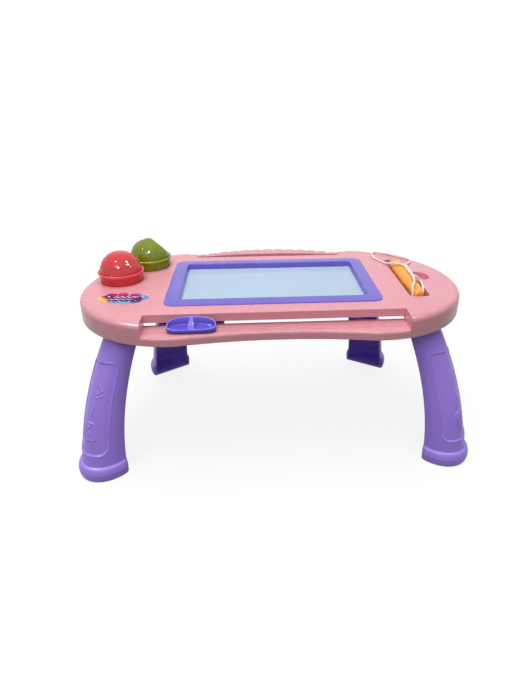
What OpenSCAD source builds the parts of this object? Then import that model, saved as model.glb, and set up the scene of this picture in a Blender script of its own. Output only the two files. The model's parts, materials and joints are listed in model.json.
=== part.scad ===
// Children's activity table: a magnetic drawing board with a sliding eraser,
// two stampers, a tethered pen, a carry handle and four plug-in legs.
// Millimetres. +X is to the user's right, +Y away from the user, +Z up.
// The origin lies on the floor under the middle of the legs.

/* [Table top] */
// Height of the top surface above the floor
table_h = 228; // [190:1:280]
// Overall width of the table top
table_w = 530; // [500:1:620]
// Plan radius of the two front corners
front_r = 133; // [125:1:140]
// Plan radius of the two back corners
back_r = 156; // [150:1:165]
// Where the table top is widest, measured from the middle of the legs
widest_y = -31; // [-36:1:-28]
// Height of the skirt round the table top
skirt_h = 28; // [26:0.5:36]
// Wall of the skirt and of every hanging wall
wall = 2.5; // [2:0.1:3]
// Thickness of the top plate
plate_t = 3; // [2.5:0.1:3.5]
// Radius of the rounded upper edge
edge_r = 8; // [5:0.5:12]

/* [Carry handle] */
// Back edge of the handle bar at its middle
handle_back = 151.5; // [148:0.5:160]
// Plan radius of the bowed back edge
bow_r = 245; // [240:1:260]
// How far the bar lies below the top surface
handle_drop = 4; // [2:0.5:6]
// Radius of the bar's rounded edge
bar_edge_r = 8; // [5:0.5:9]
// Front edge of the bar at its middle
bar_front = 121; // [118:0.5:124]
// Plan radius of the bar's front edge
bar_front_r = 600; // [500:10:700]
// Width of the hand slot
hand_slot_w = 232; // [200:1:236]
// Front edge of the hand slot
hand_slot_front = 95; // [93:0.5:98]
// Number of grip grooves
grips = 14; // [8:1:16]
// Spacing of the grip grooves
grip_pitch = 18.3; // [14:0.1:18.6]
// Depth of a grip groove
grip_depth = 1.6; // [0.8:0.1:2]

/* [Front ledge] */
// Width of the recess at the front
recess_w = 332; // [320:1:336]
// Front face of the recess's back wall
recess_y = -131; // [-134:0.5:-129]
// Height of that wall
recess_wall_h = 10.7; // [9:0.1:12]
// Depth of the ledge below the top surface
ledge_drop = 16.5; // [15.5:0.1:18]
// Front edge of the ledge at its middle
ledge_front = -153; // [-156:0.5:-150]
// Half width of the concave stretch of the ledge's front
ledge_half = 125; // [115:1:127]
// Radius of the ledge's rounded front edge
ledge_edge_r = 4; // [2:0.5:6]
// Width of the ledge's floor behind the recess wall
ledge_tuck = 5; // [4:0.5:7]

/* [Screen] */
// Width of the screen frame
frame_w = 290; // [270:1:296]
// Depth of the screen frame, front to back
frame_d = 179; // [170:1:182]
// Middle of the screen, front to back
frame_y = -16; // [-18:0.5:-14]
// Corner radius of the screen frame
frame_r = 14; // [11:0.5:18]
// Width of the frame's rim
rim_w = 19.5; // [17:0.5:22]
// Height of the frame above the table top
frame_up = 2.4; // [1:0.1:4]
// Depth of the drawing surface below the frame's top
screen_deep = 8.2; // [6:0.1:9]
// Thickness of the honeycomb layer of the drawing panel
core_t = 1.4; // [1:0.1:2]
// Thickness of each of the panel's two films
film_t = 0.3; // [0.2:0.05:0.5]
// How much of the panel's edge the well's floor carries
panel_lap = 3.5; // [3:0.1:5]
// Thickness of the well's floor
floor_t = 2.2; // [1.8:0.1:2.6]

/* [Eraser] */
// Where the eraser's handle stands at rest
eraser_x = -105; // [-124:1:122]
// Width of the finger dish
dish_w = 61; // [50:1:70]
// Depth of the finger dish, front to back
dish_d = 23.7; // [20:0.1:25]
// Height of the dish's rim at its back
dish_h = 12.5; // [9:0.5:13]
// Slope of the dish's rim in degrees
dish_slope = 19; // [0:1:22]
// Wall of the dish
dish_wall = 1.8; // [1.4:0.1:2.2]
// Width of the carriage that runs behind the slot
carriage_w = 79; // [70:1:90]
// Thickness of the carriage's plate
carriage_t = 1.8; // [1.4:0.1:2.2]
// Width of the eraser bar under the screen
bar_w = 24; // [18:1:30]
// Width of the magnet strip
magnet_w = 6; // [4:0.5:8]

/* [Stampers] */
// Place of the red stamper
red_at = [-216, -2];
// Place of the green stamper
green_at = [-185, 60];
// Radius of a stamper at the table's surface
stamp_r = 28.6; // [26:0.1:29]
// Radius of a stamper's rim
stamp_rim_r = 34; // [32:0.5:34.5]
// Height of the rim above the table's surface
stamp_rim_up = 14; // [10:0.5:18]
// Radius of a stamper's dome
dome_r = 29.5; // [26:0.5:31]
// Depth of a stamper's well
well_deep = 13; // [9:0.5:15]
// Height that the green stamper's point stands above a round dome
green_peak = 2.5; // [0:0.5:5]

/* [Pen tray] */
// Gap beside the pen in its tray, both sides together
tray_side_gap = 6; // [3:0.5:7]
// Gap before and behind the pen in its tray, both ends together
tray_end_gap = 9; // [6:0.5:13]
// Middle of the pen tray
tray_at = [197, -14];
// Depth of the pen tray
tray_deep = 13.3; // [12:0.1:14]
// Corner radius of the pen tray
tray_r = 8; // [6:0.5:10]
// Radius of the finger scoop beside the pen
scoop_r = 18; // [14:0.5:19]
// Depth of the finger scoop
scoop_deep = 9; // [5:0.5:10]

/* [Pen] */
// Radius of the pen's barrel
pen_r = 11; // [9:0.1:11.5]
// Whole length of the pen
pen_l = 147; // [138:1:150]
// Radius of the pen's magnet
pen_magnet_r = 3.2; // [2:0.1:4]
// Radius of the tether cord
cord_r = 1.35; // [1:0.05:1.6]

/* [Legs] */
// Sideways place of the front feet
front_foot_x = 236; // [228:0.5:238]
// Sideways place of the back feet
back_foot_x = 180; // [174:0.5:181]
// Place of all four feet, front to back
foot_y = 129; // [126:0.5:136]
// Half width of a leg at the floor
leg_half_w = 33; // [30:0.5:36]
// Half width of a leg under the table top
leg_top_half_w = 24; // [20:0.5:25]
// Depth of a leg at the floor
leg_d = 40.5; // [34:0.5:42]
// Depth of a leg under the table top
leg_top_d = 27; // [22:0.5:27.5]
// Wall of a leg
leg_wall = 2.6; // [2.2:0.1:3]
// How far a leg leans outwards from its top to its foot
leg_lean = 59; // [50:1:60]
// Direction in which a leg faces, in degrees
leg_facing = 56.4; // [52:0.2:58]
// Direction in which a leg leans, in degrees
leg_lean_dir = 43; // [40:1:46]
// How far the cuff at the foot stands out
cuff_out = 5; // [3:0.5:7]
// Height of the cuff
cuff_h = 22; // [16:0.5:26]
// Depth of the inset panel in a leg
inset_d = 1.2; // [0.6:0.1:1.6]

/* [Fits] */
// Gap between pieces that slide on each other
run_gap = 0.3; // [0.25:0.01:0.4]
// Gap round pieces that are plugged or laid in
seat_gap = 0.2; // [0.1:0.01:0.3]
// Radius of a self-tapping screw's shank
screw_r = 1.25; // [1:0.05:1.5]
// Gap round a screw's shank
screw_gap = 0.05; // [0.03:0.01:0.08]

/* [Hidden] */
$fn = 64;
eps = 0.01;
big = 400;

// Table top
skirt_z = table_h - skirt_h;
plate_z = table_h - plate_t;
front_cx = table_w / 2 - front_r;
back_cx = table_w / 2 - back_r;
back_y = widest_y + back_r;
bow_cy = handle_back - bow_r;
bar_cy = bar_front - bar_front_r;
bar_z = table_h - handle_drop;
lowered_half = 131;
lowered_y = 112;
ramp = 4;
slot_wall_h = 16;
bar_wall_h = 15;

// Ledge
ledge_z = table_h - ledge_drop;
slot_top_z = table_h - recess_wall_h;
ledge_back = recess_y + ledge_tuck;
ledge_wide = widest_y - front_r;
ledge_sag = ledge_front - ledge_wide;
ledge_cut_r = (pow(ledge_half, 2) + pow(ledge_sag, 2)) / (2 * ledge_sag);
groove_w = 1;
groove_d = 0.5;

// Screen
frame_top = table_h + frame_up;
film_top = frame_top - screen_deep;
panel_t = core_t + 2 * film_t;
floor_z = film_top - panel_t;
lip = 2;
well_w = frame_w - 2 * lip;
well_d = frame_d - 2 * lip;
window_w = frame_w - 2 * rim_w;
window_d = frame_d - 2 * rim_w;
rim_t = 2;
hole_w = window_w + 11;
hole_d = window_d + 12;
panel_w = hole_w + 2 * panel_lap;
panel_d = hole_d + 2 * panel_lap;
screw_head_r = 2.7;
screw_head_t = 1.7;
boss_r = 3.6;
boss_in = boss_r + seat_gap + 0.05;
screw_rows = [for (x = [-108, -36, 36, 108]) for (s = [-1, 1]) [x, frame_y + s * (well_d / 2 - boss_in)]];
screw_sides = [for (s = [-1, 1]) [s * (well_w / 2 - boss_in), frame_y]];
frame_screw_at = concat(screw_rows, screw_sides);
frame_screw_l = film_top + 2 - (floor_z - floor_t);

// Eraser
carriage_z = ledge_z + run_gap;
carriage_top = carriage_z + carriage_t;
carriage_back = recess_y + 31;
window_front = frame_y - hole_d / 2;
window_back = frame_y + hole_d / 2;
erase_front = window_front + 2;
erase_back = window_back - 2;
erase_top = floor_z - 0.4;
magnet_t = 3;
magnet_z = erase_top - magnet_t;
rail_wall = 1.5;
tongue_l = 19;
tongue_end = window_back + tongue_l;
dish_back = recess_y - 0.8;
dish_bow_r = 45.6;
peg_r = 2;
peg_at = [-13, 13];

// Rear guide
guide_t = 1.8;
guide_top = carriage_z - run_gap;
guide_half = 137;
guide_front = window_back + 4;
guide_back = window_back + 22;
guide_boss_y = tongue_end + 6.5;
guide_boss_x = [-90, 0, 90];
guide_boss_r = 3.6;
guide_screw_l = 9;

// Stampers
well_r = stamp_r + 0.9;
stamp_z = table_h - well_deep + run_gap;
stamp_wall = 2;
rim_z = table_h + stamp_rim_up;
rim_half = 1.8;
stamp_foot_r = stamp_r - 1.8;
stamp_magnet_t = 1.6;

// Label
label_at = [-201, -73];

// Pen tray and pen
tray_w = 2 * pen_r + tray_side_gap;
tray_l = pen_l + tray_end_gap;
tray_z = table_h - tray_deep;
scoop_at = [tray_at[0] + tray_w / 2 + 3, tray_at[1]];
pen_x = tray_at[0] + 0.5;
pen_z = tray_z + run_gap + pen_r;
pen_tail_y = tray_at[1] - tray_l / 2 + 3;
pen_tip_y = pen_tail_y + pen_l;
nose_l = 14;
tail_flat = 4;
notch_at = 37;
notch_r = 7;
anchor_at = [tray_at[0] - tray_w / 2 + 4, tray_at[1] - tray_l / 2 + 5];
anchor_r = cord_r + 0.5;
knot_r = 2.9;

// Legs
leg_top_z = skirt_z + 4;
tang_l = 21;
tang_w = 10;
tang_wall = 2;
tang_z = plate_z - 3.4;
tang_out = 13;
panel_half_angle = 46;
panel_low = 33;
panel_high = table_h - 68;
panel_round = 11;
panel_edge = 0.7;
sole_t = 3.5;
leg_angles_half = [0, 12, 24, 35, 42.5, 45.5, 54, 63, 72, 81];
leg_angles = concat(leg_angles_half, [90], [for (i = [9 : -1 : 0]) 180 - leg_angles_half[i]]);

function legs_unit(a) = [cos(a), sin(a)];
function lean_at(z) = leg_lean * pow(z / leg_top_z, 2);
function leg_mid(x, z) = [x, foot_y] - lean_at(z) * legs_unit(leg_lean_dir);
function half_at(z) = leg_half_w + (leg_top_half_w - leg_half_w) * z / leg_top_z;
function depth_at(z) = leg_d + (leg_top_d - leg_d) * z / leg_top_z;
function cuff_at(z) = z >= cuff_h ? 0 : cuff_out * pow(sin(180 * pow((z + 3) / (cuff_h + 3), 0.8)), 0.5);
function side_dir() = [sin(leg_facing), -cos(leg_facing)];
function leg_point(x, z, a, off) =
    leg_mid(x, z)
    + (half_at(z) + off) * cos(a) * side_dir()
    + (depth_at(z) + off) * sin(a) * legs_unit(leg_facing);
function tang_at(x) = leg_mid(x, leg_top_z) + [0, tang_out];
foot_signs = [[-1, -1], [1, -1], [-1, 1], [1, 1]];
function foot_x(s) = s[1] < 0 ? front_foot_x : back_foot_x;

// Rectangle with round corners, drawn from circles and squares
module round_rect(w, d, r) {
    square([w - 2 * r, d], center = true);
    square([w, d - 2 * r], center = true);
    for (x = [-1, 1]) for (y = [-1, 1]) translate([x * (w / 2 - r), y * (d / 2 - r)]) circle(r);
}

module round_block(w, d, r, h) linear_extrude(h) round_rect(w, d, r);

// Flat bar with round ends
module pill(l, w, h) linear_extrude(h) {
    square([l - w, w], center = true);
    for (x = [-1, 1]) translate([x * (l - w) / 2, 0]) circle(w / 2);
}

// Half of a disc's section, with its upper outer corner rounded
module edge_section(r, h, er) {
    square([r - er, h]);
    square([r, h - er]);
    translate([r - er, h - er]) intersection() {
        circle(er);
        square(er);
    }
}

// Body of the table top, shrunk by inset on its sides
module slab(inset, z0, z1, er) {
    h = z1 - z0;
    for (s = [-1, 1]) {
        translate([s * front_cx, widest_y, z0]) rotate([0, 0, 180])
            rotate_extrude(angle = 180, $fn = 200) edge_section(front_r - inset, h, er);
        translate([s * back_cx, widest_y, z0])
            rotate_extrude(angle = 180, $fn = 200) edge_section(back_r - inset, h, er);
    }
    translate([-front_cx, widest_y - front_r + inset, z0]) cube([2 * front_cx, front_r - inset, h]);
    translate([-back_cx, widest_y - eps, z0]) cube([2 * back_cx, back_r - inset + eps, h]);
}

// Body of the carry handle, which closes the back of the table top
module handle_body(inset, z1, er) {
    h = z1 - skirt_z;
    intersection() {
        union() {
            translate([0, bow_cy, skirt_z]) rotate_extrude($fn = 360) edge_section(bow_r - inset, h, er);
            for (s = [-1, 1]) translate([s * back_cx, widest_y, skirt_z])
                rotate_extrude($fn = 200) edge_section(back_r - inset, h, er);
        }
        translate([-lowered_half, lowered_y, skirt_z - 1]) cube([2 * lowered_half, 60, h + 2]);
    }
}

module handle_bar() {
    slot_half = hand_slot_w / 2;
    difference() {
        handle_body(0, bar_z, bar_edge_r);
        difference() {
            translate([0, 0, -plate_t]) handle_body(wall, bar_z, bar_edge_r - wall);
            intersection() {
                translate([0, bar_cy, 0]) cylinder(r = bar_front_r + wall, h = big, $fn = 360);
                translate([-slot_half - wall, 0, bar_z - bar_wall_h])
                    cube([2 * (slot_half + wall), big, big]);
            }
        }
        intersection() {
            translate([0, bar_cy, 0]) cylinder(r = bar_front_r, h = big, $fn = 360);
            translate([-slot_half, 0, 0]) cube([2 * slot_half, big, big]);
        }
        for (i = [0 : grips - 1]) {
            x = (i - (grips - 1) / 2) * grip_pitch;
            y = bar_cy + sqrt(pow(bar_front_r + 9, 2) - pow(x, 2));
            groove_r = 4;
            translate([x, y, bar_z + groove_r - grip_depth]) rotate([-90, 0, -x / 4.2])
                cylinder(r = groove_r, h = 40, $fn = 32);
        }
    }
}

// What the handle takes out of the table top, with a sloped step at each end
module handle_room() {
    translate([0, lowered_y, 0]) rotate([90, 0, 0]) mirror([0, 0, 1]) linear_extrude(big)
        polygon([[-lowered_half, 0], [lowered_half, 0], [lowered_half, bar_z],
                 [lowered_half + ramp, table_h + 1], [-lowered_half - ramp, table_h + 1],
                 [-lowered_half, bar_z]]);
}

module hand_slot() {
    w = hand_slot_w;
    d = lowered_y - hand_slot_front + 30;
    translate([0, hand_slot_front + d / 2, 0]) round_block(w, d, 6, big);
}

// Low front part of the body, where the eraser's handle runs
module ledge_body(inset, z1, er) {
    h = z1 - skirt_z;
    half = recess_w / 2 + wall;
    intersection() {
        union() {
            for (s = [-1, 1]) translate([s * front_cx, widest_y, skirt_z]) rotate([0, 0, 180])
                rotate_extrude(angle = 180, $fn = 200) edge_section(front_r - inset, h, er);
            translate([front_cx, widest_y, skirt_z]) rotate([90, 0, -90])
                linear_extrude(2 * front_cx) edge_section(front_r - inset, h, er);
        }
        translate([-half, widest_y - front_r - 1, skirt_z - 1])
            cube([2 * half, ledge_back - widest_y + front_r + 1, h + 2]);
    }
}

// Round hollow in front of the ledge, flared over the ledge's soft edge
module ledge_front_cut(inset, z1, er) {
    h = z1 - skirt_z;
    r = ledge_cut_r + inset;
    translate([0, ledge_front - ledge_cut_r, skirt_z - 1]) rotate_extrude($fn = 720) {
        square([r, h + 2]);
        difference() {
            translate([r - 1, h - er + 1]) square([1 + er, er + 1]);
            translate([r + er, h - er + 1]) circle(er);
        }
    }
}

module ledge() {
    difference() {
        ledge_body(0, ledge_z, ledge_edge_r);
        ledge_front_cut(0, ledge_z, ledge_edge_r);
        difference() {
            ledge_body(wall, ledge_z - wall, ledge_edge_r - wall);
            ledge_front_cut(wall, ledge_z - wall, ledge_edge_r - wall);
            translate([-big, ledge_back - wall, skirt_z]) cube([2 * big, big, big]);
        }
        for (i = [0 : 2]) translate([-recess_w / 2, recess_y - 8 - 5 * i, ledge_z - groove_d])
            cube([recess_w, groove_w, 1]);
        translate([-big, ledge_back - wall - 1, skirt_z - 1]) cube([2 * big, wall + 2, 6]);
    }
}

module recess_room() {
    translate([-recess_w / 2, recess_y - big, skirt_z - 1]) cube([recess_w, big, big]);
}

// Walls that close the recess at its back and its two ends
module recess_walls() {
    half = recess_w / 2;
    translate([-half - wall, recess_y, slot_top_z]) cube([2 * (half + wall), wall, table_h - slot_top_z - 1]);
    intersection() {
        slab(0, skirt_z, table_h, edge_r);
        for (s = [-1, 1]) translate([s * (half + wall / 2), recess_y - 30, skirt_z + big / 2])
            cube([wall, 60 + 2 * wall, big], center = true);
    }
}

module screen_well_solid() {
    translate([0, frame_y, floor_z - floor_t])
        round_block(well_w + 2 * wall, well_d + 2 * wall, frame_r - lip + wall,
                    table_h - 1 - (floor_z - floor_t));
}

module screen_well_room() {
    translate([0, frame_y, floor_z]) round_block(well_w, well_d, frame_r - lip, big);
    translate([0, frame_y, skirt_z]) round_block(hole_w, hole_d, 4, big);
    for (p = frame_screw_at) translate([p[0], p[1], skirt_z]) cylinder(r = screw_r + 0.3, h = 60, $fn = 24);
}

module stamp_well_solid(at) translate([at[0], at[1], table_h - well_deep - floor_t])
    cylinder(r = well_r + wall, h = well_deep + floor_t - 1);

module stamp_well_room(at) translate([at[0], at[1], table_h - well_deep]) cylinder(r = well_r, h = big);

module tray_solid() {
    translate([tray_at[0], tray_at[1], tray_z - floor_t])
        round_block(tray_w + 2 * wall, tray_l + 2 * wall, tray_r + wall, tray_deep + floor_t - 1);
    translate([scoop_at[0], scoop_at[1], table_h - scoop_deep - floor_t])
        cylinder(r = scoop_r + wall, h = scoop_deep + floor_t - 1);
}

module tray_room() {
    translate([tray_at[0], tray_at[1], tray_z]) round_block(tray_w, tray_l, tray_r, big);
    translate([scoop_at[0], scoop_at[1], table_h - scoop_deep]) cylinder(r = scoop_r, h = big);
    translate([anchor_at[0], anchor_at[1], tray_z - 2 * floor_t]) cylinder(r = anchor_r, h = 20, $fn = 24);
}

// Small rib on the tray's inner wall that steadies the pen
module tray_rib() {
    translate([tray_at[0] - tray_w / 2 - 1, tray_at[1] - 8.5, tray_z - 1]) cube([2.6, 3, tray_deep - 1]);
}

module leg_socket(s) {
    p = tang_at(foot_x(s));
    translate([s[0] * p[0], s[1] * p[1], leg_top_z + run_gap])
        pill(tang_l + 2 * (wall + seat_gap), tang_w + 2 * (wall + seat_gap), plate_z - leg_top_z);
}

module leg_socket_room(s) {
    p = tang_at(foot_x(s));
    translate([s[0] * p[0], s[1] * p[1], skirt_z])
        pill(tang_l + 2 * seat_gap, tang_w + 2 * seat_gap, tang_z + seat_gap - skirt_z);
}

// Stiffening ribs under the two wings and the back of the plate
module plate_ribs() {
    rib_h = 9;
    rib_t = 1.8;
    x0 = well_w / 2;
    intersection() {
        slab(wall / 2, skirt_z, plate_z + 1, edge_r - wall / 2);
        union() {
            for (y = [-100, -60, -20, 30, 88]) for (s = [-1, 1])
                translate([s * (x0 + 70), y, plate_z + 1 - rib_h / 2])
                    cube([140, rib_t, rib_h], center = true);
            for (s = [-1, 1]) translate([s * (x0 + 22), -20, plate_z + 1 - rib_h / 2])
                cube([rib_t, 230, rib_h], center = true);
        }
    }
}

module table_top() color([0.90, 0.64, 0.70]) {
    difference() {
        union() {
            difference() {
                slab(0, skirt_z, table_h, edge_r);
                slab(wall, skirt_z - 1, plate_z, edge_r - wall);
                handle_room();
            }
            difference() {
                intersection() {
                    slab(1, skirt_z, table_h - 1, edge_r - 1);
                    for (s = [-1, 1])
                        translate([s * (lowered_half + ramp / 2), lowered_y + 20, plate_z - 1.5])
                            cube([ramp + 4, 44, 5], center = true);
                }
                handle_room();
            }
            plate_ribs();
            screen_well_solid();
            for (at = [red_at, green_at]) stamp_well_solid(at);
            tray_solid();
            for (s = foot_signs) leg_socket(s);
            for (x = guide_boss_x) translate([x, guide_boss_y, guide_top])
                cylinder(r = guide_boss_r, h = plate_z - guide_top + 1, $fn = 32);
            translate([0, hand_slot_front - wall / 2, table_h - slot_wall_h / 2 - 1])
                cube([hand_slot_w + 2 * wall, wall, slot_wall_h - 1], center = true);
            for (s = [-1, 1]) translate([s * (hand_slot_w + wall) / 2, (hand_slot_front + lowered_y) / 2,
                                         table_h - slot_wall_h / 2 - 1])
                cube([wall, lowered_y - hand_slot_front + 2, slot_wall_h - 1], center = true);
        }
        recess_room();
        hand_slot();
        screen_well_room();
        for (at = [red_at, green_at]) stamp_well_room(at);
        tray_room();
        for (s = foot_signs) leg_socket_room(s);
        for (x = guide_boss_x) translate([x, guide_boss_y, guide_top - 1])
            cylinder(r = screw_r + screw_gap, h = guide_screw_l + 1, $fn = 24);
    }
    recess_walls();
    ledge();
    handle_bar();
    tray_rib();
}

// Bezel round the drawing panel, hollow below, with a boss for each screw
module screen_frame() color([0.50, 0.44, 0.86]) {
    crest = 1;
    difference() {
        union() {
            translate([0, frame_y, table_h]) round_block(frame_w, frame_d, frame_r, frame_up - crest);
            translate([0, frame_y, table_h]) round_block(frame_w - 2, frame_d - 2, frame_r - 1, frame_up);
            translate([0, frame_y, film_top])
                round_block(well_w - 2 * seat_gap, well_d - 2 * seat_gap, frame_r - lip - seat_gap,
                            table_h - film_top + eps);
        }
        translate([0, frame_y, film_top - 5]) round_block(window_w, window_d, 4, big);
        difference() {
            translate([0, frame_y, film_top - 5])
                round_block(well_w - 2 * seat_gap - 2 * rim_t, well_d - 2 * seat_gap - 2 * rim_t,
                            frame_r - lip - rim_t, frame_top - rim_t - film_top + 5);
            translate([0, frame_y, film_top - 6])
                round_block(window_w + 2 * rim_t, window_d + 2 * rim_t, 5, big);
        }
    }
    difference() {
        union() {
            for (p = frame_screw_at) translate([p[0], p[1], floor_z])
                cylinder(r = boss_r, h = frame_top - 1 - floor_z, $fn = 32);
            for (x = [-72, 0, 72]) for (s = [-1, 1])
                translate([x - 0.8, frame_y + s * (window_d + well_d) / 4 - 8, film_top + 1.5])
                    cube([1.6, 16, frame_top - 1 - film_top - 1.5]);
            for (y = [-40, 40]) for (s = [-1, 1])
                translate([s * (window_w + well_w) / 4 - 8, frame_y + y - 0.8, film_top + 1.5])
                    cube([16, 1.6, frame_top - 1 - film_top - 1.5]);
        }
        for (p = frame_screw_at) translate([p[0], p[1], floor_z - 1])
            cylinder(r = screw_r + screw_gap, h = film_top + 2.2 - floor_z + 1, $fn = 24);
    }
}

module panel_layer(z, t) translate([0, frame_y, z]) round_block(panel_w, panel_d, 3.5, t);

module clear_film() color([0.80, 0.90, 0.95, 0.6]) panel_layer(floor_z + film_t + core_t, film_t);
module honeycomb_core() color([0.74, 0.83, 0.91]) panel_layer(floor_z + film_t, core_t);
module back_film() color([0.86, 0.90, 0.93]) panel_layer(floor_z, film_t);

// Pan-head screw driven upwards, its head at the bottom
module screw(l) {
    translate([0, 0, -screw_head_t]) cylinder(r = screw_head_r, h = screw_head_t, $fn = 24);
    cylinder(r = screw_r, h = l, $fn = 24);
}

module frame_screws() color([0.72, 0.73, 0.75])
    for (p = frame_screw_at) translate([p[0], p[1], floor_z - floor_t]) screw(frame_screw_l);

module guide_screws() color([0.72, 0.73, 0.75])
    for (x = guide_boss_x) translate([x, guide_boss_y, guide_top - guide_t])
        screw(guide_t + guide_screw_l - 1);

// Plan of the finger dish: flat front, bowed back
module dish_plan(inset) intersection() {
    translate([0, dish_back - dish_bow_r]) circle(dish_bow_r - inset, $fn = 120);
    translate([0, dish_back - dish_d / 2 + 6])
        round_rect(dish_w - 2 * inset, dish_d + 12 - 2 * inset, 10 - inset);
}

// Everything above the sloping rim of the dish
module above_rim(drop) translate([0, dish_back, carriage_top + dish_h - drop]) rotate([dish_slope, 0, 0])
    translate([-50, -60, 0]) cube([100, 100, 60]);

module eraser_dish() color([0.45, 0.38, 0.86]) translate([eraser_x, 0, 0]) difference() {
    union() {
        difference() {
            translate([0, 0, carriage_top]) linear_extrude(dish_h + 2) dish_plan(0);
            translate([0, 0, carriage_top + dish_wall]) linear_extrude(dish_h + 2) dish_plan(dish_wall);
            above_rim(0);
        }
        difference() {
            translate([-2.6, dish_back - dish_d + 1, carriage_top]) cube([5.2, dish_d - 2, dish_h]);
            above_rim(0.8);
            translate([-5, dish_back - dish_d, carriage_top + 4.5]) rotate([38, 0, 0])
                translate([0, -10, 0]) cube([10, 30, 20]);
        }
        for (x = peg_at) translate([x, dish_back - dish_d / 2, carriage_z])
            cylinder(r = peg_r, h = 4, $fn = 32);
    }
}

// Plate that runs on the ledge, passes the slot and carries the eraser bar
module eraser_carriage() color([0.42, 0.34, 0.74]) translate([eraser_x, 0, 0]) difference() {
    union() {
        translate([-carriage_w / 2, recess_y + 3, carriage_z])
            cube([carriage_w, carriage_back - recess_y - 3, carriage_t]);
        translate([-20, dish_back - dish_d + 3, carriage_z])
            cube([40, recess_y + 4 - (dish_back - dish_d + 3), carriage_t]);
        translate([-bar_w / 2, carriage_back - 1, carriage_z])
            cube([bar_w, tongue_end - carriage_back + 1, carriage_t]);
        translate([-bar_w / 2, erase_front, carriage_z])
            cube([bar_w, erase_back - erase_front, 3.2]);
        translate([-magnet_w / 2 - rail_wall, erase_front, carriage_z])
            cube([magnet_w + 2 * rail_wall, erase_back - erase_front, erase_top - 0.8 - carriage_z]);
        for (s = [-1, 1])
            translate([s * (carriage_w / 2 - 0.9), (recess_y + 3 + carriage_back) / 2, carriage_z + 1.6])
                cube([1.8, carriage_back - recess_y - 3, 3.2], center = true);
    }
    translate([-magnet_w / 2 - seat_gap / 2, erase_front + 1.5, magnet_z])
        cube([magnet_w + seat_gap, erase_back - erase_front - 3, 10]);
    for (x = peg_at) translate([x, dish_back - dish_d / 2, carriage_z - 1])
        cylinder(r = peg_r + screw_gap, h = 6, $fn = 32);
}

module eraser_magnet() color([0.16, 0.15, 0.15]) translate([eraser_x, 0, 0])
    translate([-magnet_w / 2, erase_front + 1.6, magnet_z])
        cube([magnet_w, erase_back - erase_front - 3.2, magnet_t]);

// Strip under the back edge of the screen that holds the carriage's tongue up
module rear_guide() color([0.86, 0.60, 0.67]) difference() {
    union() {
        translate([-guide_half, guide_front, guide_top - guide_t])
            cube([2 * guide_half, guide_back - guide_front - 4, guide_t]);
        for (x = guide_boss_x) translate([x, guide_boss_y - 4, guide_top - guide_t]) linear_extrude(guide_t) {
            square([16, 18], center = true);
            translate([0, 4]) circle(6.5);
        }
    }
    for (x = guide_boss_x) translate([x, guide_boss_y, guide_top - guide_t - 1])
        cylinder(r = screw_r + 0.3, h = guide_t + 2, $fn = 24);
}

// Leg for the back right corner; the others are its mirror images
function leg_row_z(i, a) =
    let (u = min(1, abs(a - 90) / panel_half_angle), low = panel_low + panel_round * pow(u, 3),
         high = panel_high - panel_round * pow(u, 3), n = 6)
    i < 7 ? [0, 2, 6, 12, 17, 20.5, 22.6][i]
    : i == 7 ? low - panel_edge
    : i <= 8 + n ? low + panel_edge + (high - low - 2 * panel_edge) * (i - 8) / n
    : i == 9 + n ? high + panel_edge
    : high + panel_edge + (leg_top_z - high - panel_edge) * (i - 9 - n) / 3;
leg_rows = 19;

function leg_ring(x, i) = concat(
    [for (a = leg_angles)
        let (z = leg_row_z(i, a), inside = i >= 8 && i <= 14 && abs(a - 90) < panel_half_angle,
             p = leg_point(x, z, a, cuff_at(z) - (inside ? inset_d : 0)))
        [p[0], p[1], z]],
    [for (k = [len(leg_angles) - 1 : -1 : 0])
        let (a = leg_angles[k], z = leg_row_z(i, a), p = leg_point(x, z, a, cuff_at(z) - leg_wall))
        [p[0], p[1], z]]);

module leg_shell(x) {
    n = 2 * len(leg_angles);
    m = len(leg_angles);
    pts = [for (i = [0 : leg_rows - 1]) each leg_ring(x, i)];
    sides = [for (i = [0 : leg_rows - 2]) for (k = [0 : n - 1])
        [i * n + k, i * n + (k + 1) % n, (i + 1) * n + (k + 1) % n, (i + 1) * n + k]];
    last = (leg_rows - 1) * n;
    foot = [for (k = [0 : m - 2]) [n - 2 - k, k + 1, k, n - 1 - k]];
    head = [for (k = [0 : m - 2]) [last + k, last + k + 1, last + n - 2 - k, last + n - 1 - k]];
    tri = [for (f = concat(sides, foot, head)) each [[f[2], f[1], f[0]], [f[3], f[2], f[0]]]];
    polyhedron(points = pts, faces = tri, convexity = 6);
}

// Cross web that closes a leg's hollow at one height
module leg_web(x, z, t) translate([0, 0, z]) linear_extrude(t)
    polygon([for (a = leg_angles) leg_point(x, z, a, cuff_at(z) - leg_wall / 2)]);

module leg(x) {
    p = tang_at(x);
    leg_shell(x);
    leg_web(x, 0, sole_t);
    leg_web(x, 96, leg_wall);
    leg_web(x, 150, leg_wall);
    leg_web(x, leg_top_z - leg_wall, leg_wall);
    difference() {
        translate([p[0], p[1], leg_top_z - 1]) pill(tang_l, tang_w, tang_z - leg_top_z + 1);
        translate([p[0], p[1], leg_top_z + 1])
            pill(tang_l - 2 * tang_wall, tang_w - 2 * tang_wall, tang_z - leg_top_z);
    }
}

module placed_leg(s) color([0.55, 0.42, 0.80])
    mirror([s[0] < 0 ? 1 : 0, 0, 0]) mirror([0, s[1] < 0 ? 1 : 0, 0]) leg(foot_x(s));

module leg_front_left() placed_leg(foot_signs[0]);
module leg_front_right() placed_leg(foot_signs[1]);
module leg_back_left() placed_leg(foot_signs[2]);
module leg_back_right() placed_leg(foot_signs[3]);

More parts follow.
